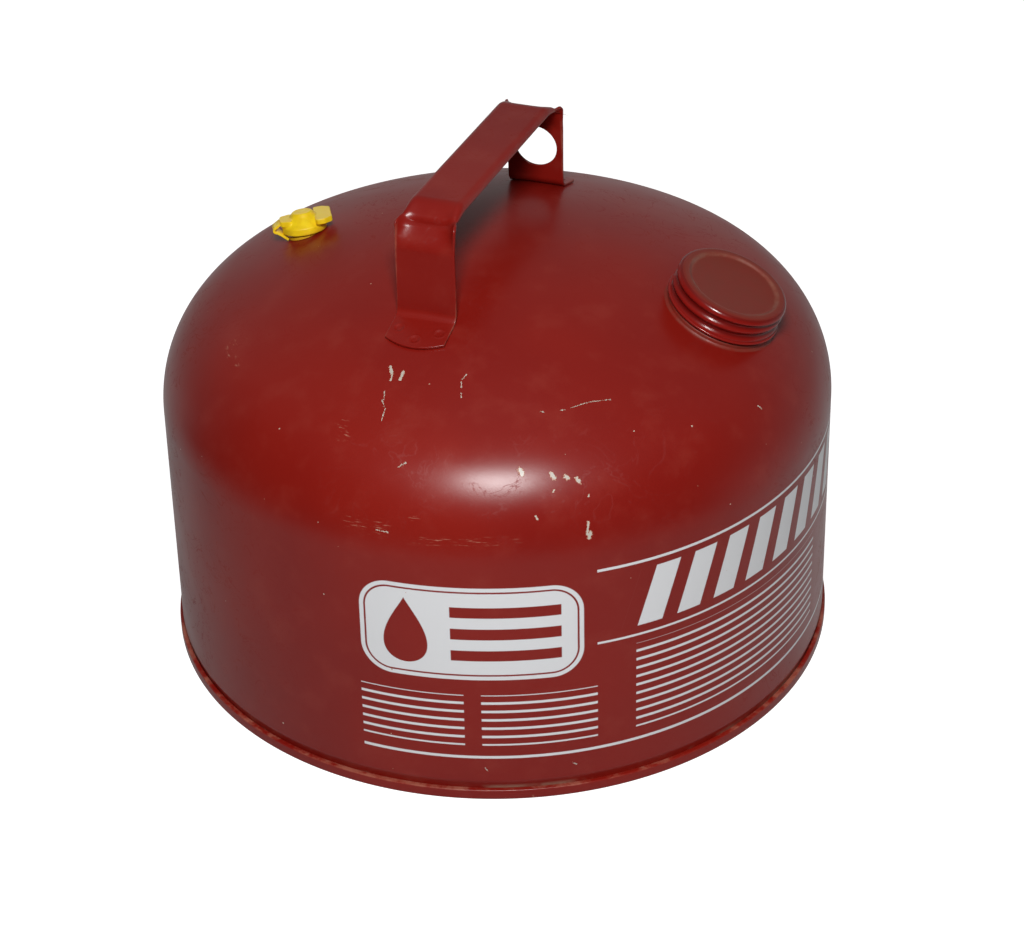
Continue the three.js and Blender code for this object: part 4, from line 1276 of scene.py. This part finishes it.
def strap_section(place, channel, dish):
    """Where a point of the flat strap goes: across the strap and out of its plane."""
    half = STRAP_WIDTH / 2
    arc_length = GRIP_EDGE_RADIUS * GRIP_EDGE_ANGLE
    flat = half - arc_length - GRIP_EDGE_LIP
    reach = abs(place)
    angle = min(max(reach - flat, 0) / GRIP_EDGE_RADIUS, GRIP_EDGE_ANGLE)
    past = max(reach - flat - arc_length, 0)
    folded = min(reach, flat) + GRIP_EDGE_RADIUS * sin(angle) + past * cos(angle)
    out = -GRIP_EDGE_RADIUS * (1 - cos(angle)) - past * sin(angle)
    across = lerp(reach, folded, channel)
    sink = BEND_DISH * dish * (1 - (across / half) ** 4)
    return copysign(across, place), out * channel - sink


def weld_marks():
    """Middles of the spot welds on the two feet."""
    marks = []
    for side in (-1, 1):
        for across, row in ((0, 0), (-1, 1), (1, 1)):
            x = STRAP_SHIFT + across * WELD_SPREAD
            marks.append(Vector((x, side * (FOOT_REACH - WELD_FROM_TIP - row * WELD_ROW_SPACING))))
    return marks


def strap_grid():
    """Points of the strap's middle surface, in rows along it."""
    line = strap_line()
    middle = line[-1][2] / 2
    bend_level = GRIP_MIDDLE_HEIGHT - GRIP_BEND_RADIUS / 3
    bend_from_middle = middle - next(length for point, _, length in line if point.y > bend_level)

    def strap_point(column, row):
        point, normal, length = line[row]
        place = STRAP_WIDTH * (column / STRAP_COLUMNS - 0.5)
        past = abs(length - middle) - bend_from_middle
        channel = 1 - smooth(past, -GRIP_EDGE_RUN_OUT, GRIP_EDGE_FADE)
        dish = 1 - smooth(abs(past), 0, BEND_DISH_REACH)
        across, out = strap_section(place, channel, dish)
        from_tip = min(length, 2 * middle - length)
        foot_share = 1 - smooth(from_tip, FOOT_LENGTH, 2 * FOOT_LENGTH)
        round_share = max(1 - from_tip / FOOT_LENGTH, 0)
        inward = -copysign(1, point.x) * FOOT_END_ROUND
        inward *= round_share * (2 * across / STRAP_WIDTH) ** 2
        rise_share = smooth(point.y, dome_height(LEG_SPREAD_AT_FOOT), GRIP_MIDDLE_HEIGHT)
        x = STRAP_SHIFT + across + GRIP_TWIST * rise_share * point.x / LEG_SPREAD_AT_GRIP
        y = point.x + normal.x * out + inward
        slope = dome_height(hypot(x, y)) - dome_height(abs(point.x))
        return Vector((x, y, point.y + normal.y * out + slope * foot_share))

    columns = range(STRAP_COLUMNS + 1)
    return [[strap_point(column, row) for column in columns] for row in range(len(line))]


def weld_dent(here, marks):
    """How far the strap's outer face sinks at a spot weld, inside the ring it throws up."""
    dent = 0.0
    for mark in marks:
        away = (here.xy - mark).length
        dent += WELD_DEPTH * (1 - smooth(away, WELD_RADIUS * WELD_FLAT_SHARE, WELD_RADIUS))
        from_ring = abs(away - WELD_RADIUS * WELD_RING_SHARE)
        ring = 1 - smooth(from_ring, 0, WELD_RADIUS * WELD_RING_WIDTH_SHARE)
        dent -= WELD_DEPTH * WELD_RING_HEIGHT_SHARE * ring
    return dent


def strap_side(grid, side):
    """Points of the strap's outer face, side 1, or its inner face, side -1."""
    marks = weld_marks()
    made = []
    for row, points in enumerate(grid):
        for column, here in enumerate(points):
            across = points[min(column + 1, STRAP_COLUMNS)] - points[max(column - 1, 0)]
            along = grid[min(row + 1, len(grid) - 1)][column] - grid[max(row - 1, 0)][column]
            normal = across.cross(along).normalized()
            welded = side > 0 and here.z < GRIP_HEIGHT - HAND_ROOM / 2
            dent = weld_dent(here, marks) if welded else 0.0
            made.append(here + normal * side * (STRAP_SHEET / 2 - dent))
    return made


def strap_mesh():
    """The closed strap: its outer face, its inner face and the rim between them."""
    grid = strap_grid()
    rows = len(grid) - 1
    width = STRAP_COLUMNS + 1
    other = width * (rows + 1)
    faces = []
    for row in range(rows):
        for column in range(STRAP_COLUMNS):
            a = row * width + column
            faces.append((a, a + 1, a + width + 1, a + width))
            faces.append(tuple(reversed([other + k for k in faces[-1]])))
    rim = [*range(width)]
    rim += [row * width + STRAP_COLUMNS for row in range(1, rows + 1)]
    rim += [rows * width + column for column in range(STRAP_COLUMNS - 1, -1, -1)]
    rim += [row * width for row in range(rows - 1, 0, -1)]
    for here, following in zip(rim, [*rim[1:], rim[0]]):
        faces.append((here, other + here, other + following, following))
    return mesh_object("can_handle", [*strap_side(grid, 1), *strap_side(grid, -1)], faces)


def spout_hole_tool():
    """A round cut for the rear leg, flared at both faces of the strap."""
    flare = HOLE_EDGE_ROUND
    face = STRAP_SHEET / 2
    half = [
        (SPOUT_HOLE_RADIUS, face - flare),
        (SPOUT_HOLE_RADIUS + flare / 4, face - flare / 2),
        (SPOUT_HOLE_RADIUS + flare, face + TOUCH),
        (SPOUT_HOLE_RADIUS + CUT_OVERRUN, CUT_OVERRUN),
        (0, CUT_OVERRUN),
    ]
    mirrored = [(radius, -height) for radius, height in reversed(half)]
    tool = lathe("hole_tool", [*mirrored, *half], NECK_SEGMENTS)
    leg_run = LEG_SPREAD_AT_FOOT - LEG_SPREAD_AT_GRIP
    leg_rise = GRIP_MIDDLE_HEIGHT - dome_height(LEG_SPREAD_AT_FOOT) - SEAT_GAP - STRAP_SHEET / 2
    down_share = (GRIP_MIDDLE_HEIGHT - SPOUT_HOLE_HEIGHT) / leg_rise
    place = (
        STRAP_SHIFT + SPOUT_HOLE_SHIFT,
        lerp(LEG_SPREAD_AT_GRIP, LEG_SPREAD_AT_FOOT, down_share),
        SPOUT_HOLE_HEIGHT,
    )
    turn = pi / 2 + atan2(leg_run, leg_rise)
    tool.matrix_world = Matrix.Translation(place) @ Matrix.Rotation(turn, 4, "X")
    return tool


def handle(finish):
    """Strap handle: rounded feet, turned-down grip edges, dished bends, hole and weld marks."""
    strap = strap_mesh()
    combine(strap, spout_hole_tool(), "DIFFERENCE")
    round_edges(strap, HOLE_EDGE_ROUND, STRAP_EDGE_STEPS, STRAP_EDGE_ANGLE, False)
    return dress(strap, finish, "can", ["handle_strap"])


def vent_bush(finish):
    """Bush pressed into the dome, with a flange on top and a barb behind the sheet."""
    back = -BODY_SHEET - BUSH_SHEET_ROOM - SEAT_GAP
    barb = BUSH_HOLE_RADIUS + BUSH_BARB
    tail = back - BUSH_BARB_LENGTH
    profile = rounded([
        (BUSH_BORE_RADIUS, tail, SEAT_GAP),
        (BUSH_COLLAR_RADIUS - BUSH_BARB / 2, tail, SEAT_GAP),
        (barb, back - BUSH_BARB / 2, SEAT_GAP / 2),
        (barb, back, SEAT_GAP / 2),
        (BUSH_COLLAR_RADIUS, back, 0),
        (BUSH_COLLAR_RADIUS, SEAT_GAP / 3, 0),
        (BUSH_FLANGE_RADIUS, SEAT_GAP / 3, SEAT_GAP / 2),
        (BUSH_FLANGE_RADIUS, BUSH_FLANGE_TOP, VENT_EDGE_ROUND),
        (BUSH_BORE_RADIUS, BUSH_FLANGE_TOP, SEAT_GAP),
    ])
    made = lathe("vent_ring", profile, VENT_SEGMENTS)
    return dress(made, finish, "can", ["vent_bush"], VENT_PLACE)


def leaned(x, height):
    """The closed vent cap leans away from its hinge, about the middle of the flange's top."""
    above = height - BUSH_FLANGE_TOP
    return (
        x * cos(VENT_CAP_TILT) - above * sin(VENT_CAP_TILT),
        x * sin(VENT_CAP_TILT) + above * cos(VENT_CAP_TILT) + BUSH_FLANGE_TOP,
    )


def prism(name, outline, low, high):
    """A flat outline of (x, y) pairs pulled up between two heights."""
    count = len(outline)
    points = [(x, y, z) for z in (low, high) for x, y in outline]
    faces = [tuple(reversed(range(count))), tuple(range(count, 2 * count))]
    for i in range(count):
        j = (i + 1) % count
        faces.append((i, j, count + j, count + i))
    return mesh_object(name, points, faces)


def vent_plate(name, side, widths):
    """A flat plate on the vent cap's sloping top: its widths at distances out to one side."""
    near = [(side * x, width / 2, VENT_PLATE_ROUND) for x, width in widths]
    far = [(x, -y, size) for x, y, size in reversed(near)]
    return prism(name, rounded([*near, *far]), VENT_CUP_EDGE - VENT_PLATE_THICKNESS, VENT_CUP_EDGE)


def vent_flap(finish):
    """Vent cap: a cup with a sloping top, a plug, a low hump, a tab and an ear for the hinge."""
    plug = BUSH_BORE_RADIUS - SEAT_GAP
    ceiling = VENT_CUP_RIM - VENT_CUP_WALL
    profile = rounded([
        (0, VENT_CUP_BOTTOM - VENT_PLUG_LENGTH, 0),
        (plug - VENT_PLUG_TAPER, VENT_CUP_BOTTOM - VENT_PLUG_LENGTH, VENT_EDGE_ROUND),
        (plug, VENT_CUP_BOTTOM, 0),
        (VENT_CUP_RADIUS, VENT_CUP_BOTTOM, 0),
        (VENT_CUP_RADIUS, VENT_CUP_RIM, VENT_EDGE_ROUND),
        (VENT_HUMP_RADIUS, VENT_CUP_TOP, VENT_HUMP_ROUND),
        (VENT_HUMP_RADIUS - VENT_HUMP_ROUND, VENT_CUP_TOP + VENT_HUMP_HEIGHT, VENT_HUMP_ROUND),
        (0, VENT_CUP_TOP + VENT_HUMP_HEIGHT, 0),
    ])
    cap = lathe("vent_flip_cap", profile, VENT_SEGMENTS)
    tab = vent_plate("tab_tool", -1, [
        (VENT_PLATE_INSET, VENT_TAB_WIDTH),
        (VENT_CUP_RADIUS - VENT_EDGE_ROUND, VENT_TAB_WIDTH),
        (VENT_CUP_RADIUS + VENT_TAB_LENGTH, VENT_TAB_END_WIDTH),
    ])
    combine(cap, tab, "UNION")
    ear = vent_plate("ear_tool", 1, [
        (VENT_PLATE_INSET, VENT_EAR_ROOT_WIDTH),
        (VENT_EAR_REACH, VENT_EAR_WIDTH),
    ])
    combine(cap, ear, "UNION")
    hollow = [
        (plug, VENT_CUP_BOTTOM - CUT_OVERRUN),
        (VENT_CUP_RADIUS - VENT_CUP_WALL, VENT_CUP_BOTTOM - CUT_OVERRUN),
        (VENT_CUP_RADIUS - VENT_CUP_WALL, ceiling),
        (plug, ceiling),
    ]
    combine(cap, lathe("hollow_tool", hollow, VENT_SEGMENTS), "DIFFERENCE")
    remesh = cap.modifiers.new("even", "REMESH")
    remesh.mode = "VOXEL"
    remesh.voxel_size = VENT_VOXEL
    soften = cap.modifiers.new("soften", "SMOOTH")
    soften.factor = VENT_SOFTEN_SHARE
    soften.iterations = VENT_SOFTEN_TIMES
    settle(cap)
    lean_x, lean_z = leaned(0, 0)
    lean = Matrix.Translation((lean_x, 0, lean_z)) @ Matrix.Rotation(-VENT_CAP_TILT, 4, "Y")
    cap.data.transform(lean)
    return dress(cap, finish, "vent_flap", ["vent_cap"], VENT_PLACE)


HINGE_LOWER_MIDDLE = SEAT_GAP + BUSH_FLANGE_THICKNESS / 2
HINGE_UPPER_START, HINGE_UPPER_MIDDLE = leaned(VENT_EAR_REACH + SEAT_GAP, VENT_EAR_MIDDLE)
HINGE_HEIGHT = HINGE_UPPER_MIDDLE - HINGE_DROP - HINGE_FOLD_RADIUS
HINGE_REACH = HINGE_UPPER_START + HINGE_SLACK


def hinge_line():
    """Middle line of the hinge strap in the XZ plane: out from the flange, round and back."""
    quarter = pi / 2
    fold = arc(HINGE_REACH, HINGE_HEIGHT, HINGE_FOLD_RADIUS, -quarter, quarter, 4 * ARC_STEPS)
    halfway = (BUSH_FLANGE_RADIUS + HINGE_REACH) / 2
    return [
        Vector((BUSH_FLANGE_RADIUS + TOUCH, HINGE_LOWER_MIDDLE)),
        Vector((halfway, (HINGE_LOWER_MIDDLE + fold[0][1]) / 2)),
        *[Vector(point) for point in fold],
        Vector((HINGE_UPPER_START - SEAT_GAP, HINGE_UPPER_MIDDLE)),
    ]


def hinge_mesh():
    """The hinge strap before its slot: the line thickened to both sides and drawn out across."""
    line = hinge_line()
    outer = []
    inner = []
    for i, point in enumerate(line):
        along = (line[min(i + 1, len(line) - 1)] - line[max(i - 1, 0)]).normalized()
        out = Vector((along.y, -along.x)) * HINGE_STRAP_THICKNESS / 2
        outer.append(point + out)
        inner.append(point - out)
    section = [*outer, *reversed(inner)]
    side = HINGE_STRAP_WIDTH / 2
    count = len(section)
    points = [(p.x, y, p.y) for y in (-side, side) for p in section]
    faces = [(i, (i + 1) % count, count + (i + 1) % count, count + i) for i in range(count)]
    for i in range(len(outer) - 1):
        quad = (i, i + 1, count - 2 - i, count - 1 - i)
        faces.append(quad)
        faces.append(tuple(count + k for k in reversed(quad)))
    return mesh_object("vent_loop", points, faces)


def hinge_strap(finish):
    """Living hinge: a strap from the bush's flange that folds back to the cap's ear."""
    strap = hinge_mesh()
    far = HINGE_REACH + 2 * HINGE_FOLD_RADIUS
    side = HINGE_SLOT_WIDTH / 2
    outline = [(HINGE_REACH, -side), (far, -side), (far, side), (HINGE_REACH, side)]
    levels = (HINGE_HEIGHT - HINGE_FOLD_RADIUS, HINGE_HEIGHT + HINGE_FOLD_RADIUS)
    combine(strap, prism("slot_tool", outline, *levels), "DIFFERENCE")
    round_edges(strap, HINGE_EDGE_ROUND, HINGE_EDGE_STEPS, HINGE_EDGE_ANGLE)
    dress(strap, finish, None, ["vent_hinge_strap"], VENT_PLACE)
    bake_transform(strap)
    return strap


# Studio


CAMERA_YAW = radians(21.2)
CAMERA_PITCH = radians(32.73)
CAMERA_ROLL = radians(1.25)
CAMERA_OFFSET = (0.00429, 0.05646, 1.16679)
CAMERA_LENS = 90.27
CAMERA_SENSOR = 36.0


def camera():
    """The camera at the photograph's place: its turn, its tilt, its roll and its own offset."""
    data = bpy.data.cameras.new("camera")
    data.lens = CAMERA_LENS
    data.sensor_width = CAMERA_SENSOR
    data.sensor_fit = "HORIZONTAL"
    made = bpy.data.objects.new("camera", data)
    bpy.context.scene.collection.objects.link(made)
    made.matrix_world = (
        Matrix.Rotation(CAMERA_YAW, 4, "Z")
        @ Matrix.Rotation(pi / 2 - CAMERA_PITCH, 4, "X")
        @ Matrix.Rotation(-CAMERA_ROLL, 4, "Z")
        @ Matrix.Translation(CAMERA_OFFSET)
    )
    bpy.context.scene.camera = made


FLOOR_HALF = 3.0
FLOOR_DROP = 0.0002
FLOOR_GREY = shade(185, 185, 185)
FLOOR_FAR_GREY = shade(60, 60, 60)
FLOOR_WHITE_SHARE = 0.9
FLOOR_MIRROR_SHARE = 0.2
FLOOR_BRIGHT_REACH = 0.36
FLOOR_DIM_REACH = 0.55
FLOOR_FAR_REACH = 1.2
AMBIENT_SHARE = 0.07
BACK_LIGHT_SHARES = (0.3, 0.85, 0.0, 4.0)
BACK_LIGHT_CLIMB = 0.3
# What the enamel mirrors: its level in front and behind, from the horizon up, then overhead
MIRROR_SHARES = ((0.02, 0.34), (0.02, 0.2), (0.14, 0.26))
MIRROR_OVERHEAD_SHARE = 0.5
MIRROR_AHEAD_SHARES = (-0.4, 0.8)
MIRROR_CLIMB_SHARES = ((0.0, 0.3), (0.5, 0.7), (0.93, 0.985))
KEY_AZIMUTH = radians(-69)
KEY_ELEVATION = radians(45.5)
KEY_DISTANCE = 1.2
KEY_SIZE = 0.25
KEY_POWER = 13.5
WHITE = (1.0, 1.0, 1.0, 1.0)


def floor():
    """Plain pale floor, white to the camera but for the can's shadow, dimmer in reflections."""
    half = FLOOR_HALF
    corners = [(-half, -half), (half, -half), (half, half), (-half, half)]
    made = mesh_object("floor", [(x, y, -FLOOR_DROP) for x, y in corners], [(0, 1, 2, 3)])
    finish, graph, place = new_material("floor")
    rays = graph.node("LightPath").outputs
    reach = graph.vector("LENGTH", place)
    in_front = graph.ramp(graph.parts(place)[1], SHOULDER_RADIUS, -SHOULDER_RADIUS)
    mirrored = rays["Is Glossy Ray"]
    far = graph.times(mirrored, in_front, graph.ramp(reach, FLOOR_BRIGHT_REACH, FLOOR_DIM_REACH))
    behind = graph.times(mirrored, graph.minus(1.0, in_front))
    seen = graph.most(rays["Is Camera Ray"], rays["Is Transmission Ray"])
    white = graph.ramp(reach, FLOOR_DIM_REACH, FLOOR_FAR_REACH, FLOOR_WHITE_SHARE, 1.0)
    level = graph.math("MULTIPLY_ADD", behind, FLOOR_MIRROR_SHARE, graph.times(seen, white))
    glow = graph.node("Emission", {"Color": WHITE, "Strength": level})
    matt = graph.node("BsdfDiffuse", {"Color": graph.mix(far, FLOOR_GREY, FLOOR_FAR_GREY)})
    both = graph.node("AddShader", {0: glow.outputs[0], 1: matt.outputs[0]})
    graph.node("OutputMaterial", {"Surface": both.outputs[0]})
    made.data.materials.append(finish)


def surroundings():
    """Dim even light with more from low on the lamp's far side, and a white background.

    In reflections it is paler overhead and behind the can.
    """
    world = bpy.data.worlds.new("studio")
    bpy.context.scene.world = world
    graph = Graph(world)
    rays = graph.node("LightPath").outputs
    direction = graph.node("TexCoord").outputs["Generated"]
    _, ahead, climb = graph.parts(direction)
    mirrored, *higher = [graph.ramp(ahead, *MIRROR_AHEAD_SHARES, *ends) for ends in MIRROR_SHARES]
    for climb_ends, level in zip(MIRROR_CLIMB_SHARES, [*higher, MIRROR_OVERHEAD_SHARE]):
        mirrored = graph.ramp(climb, *climb_ends, mirrored, level)
    away = (-cos(KEY_AZIMUTH), -sin(KEY_AZIMUTH), 0)
    opposite = graph.ramp(graph.vector("DOT_PRODUCT", direction, away), *BACK_LIGHT_SHARES)
    low = graph.ramp(climb, BACK_LIGHT_CLIMB, 0.0)
    fill = graph.math("MULTIPLY_ADD", opposite, low, AMBIENT_SHARE)
    seen = graph.most(rays["Is Camera Ray"], rays["Is Transmission Ray"])
    level = graph.most(graph.mix(rays["Is Glossy Ray"], fill, mirrored), seen)
    back = graph.node("Background", {"Color": WHITE, "Strength": level})
    graph.node("OutputWorld", {"Surface": back.outputs[0]})


def key_lamp():
    """One soft lamp above the camera."""
    lamp = bpy.data.lights.new("key", "AREA")
    lamp.shape = "SQUARE"
    lamp.size = KEY_SIZE
    lamp.energy = KEY_POWER
    made = bpy.data.objects.new("key", lamp)
    bpy.context.scene.collection.objects.link(made)
    turn = Matrix.Rotation(KEY_AZIMUTH, 3, "Z") @ Matrix.Rotation(-KEY_ELEVATION, 3, "Y")
    toward = turn @ Vector((1, 0, 0))
    made.location = UP * SHOULDER_HEIGHT + toward * KEY_DISTANCE
    made.rotation_euler = toward.to_track_quat("Z", "Y").to_euler()


def main():
    camera()
    bpy.context.scene.view_settings.view_transform = "Standard"
    floor()
    surroundings()
    key_lamp()
    drawn_body(body_enamel())
    bottom(plain_enamel("chime_enamel", chime_wear))
    handle(plain_enamel("strap_enamel", strap_wear))
    neck(dirty_enamel("neck_enamel"))
    solder(dirty_enamel("solder_enamel"))
    screw_cap(cap_enamel())
    washer(rubber())
    plastic = yellow_plastic()
    vent_bush(plastic)
    vent_flap(plastic)
    hinge_strap(plastic)
    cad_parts["seam_compound"].data.materials.clear()
    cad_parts["seam_compound"].data.materials.append(compound())


main()
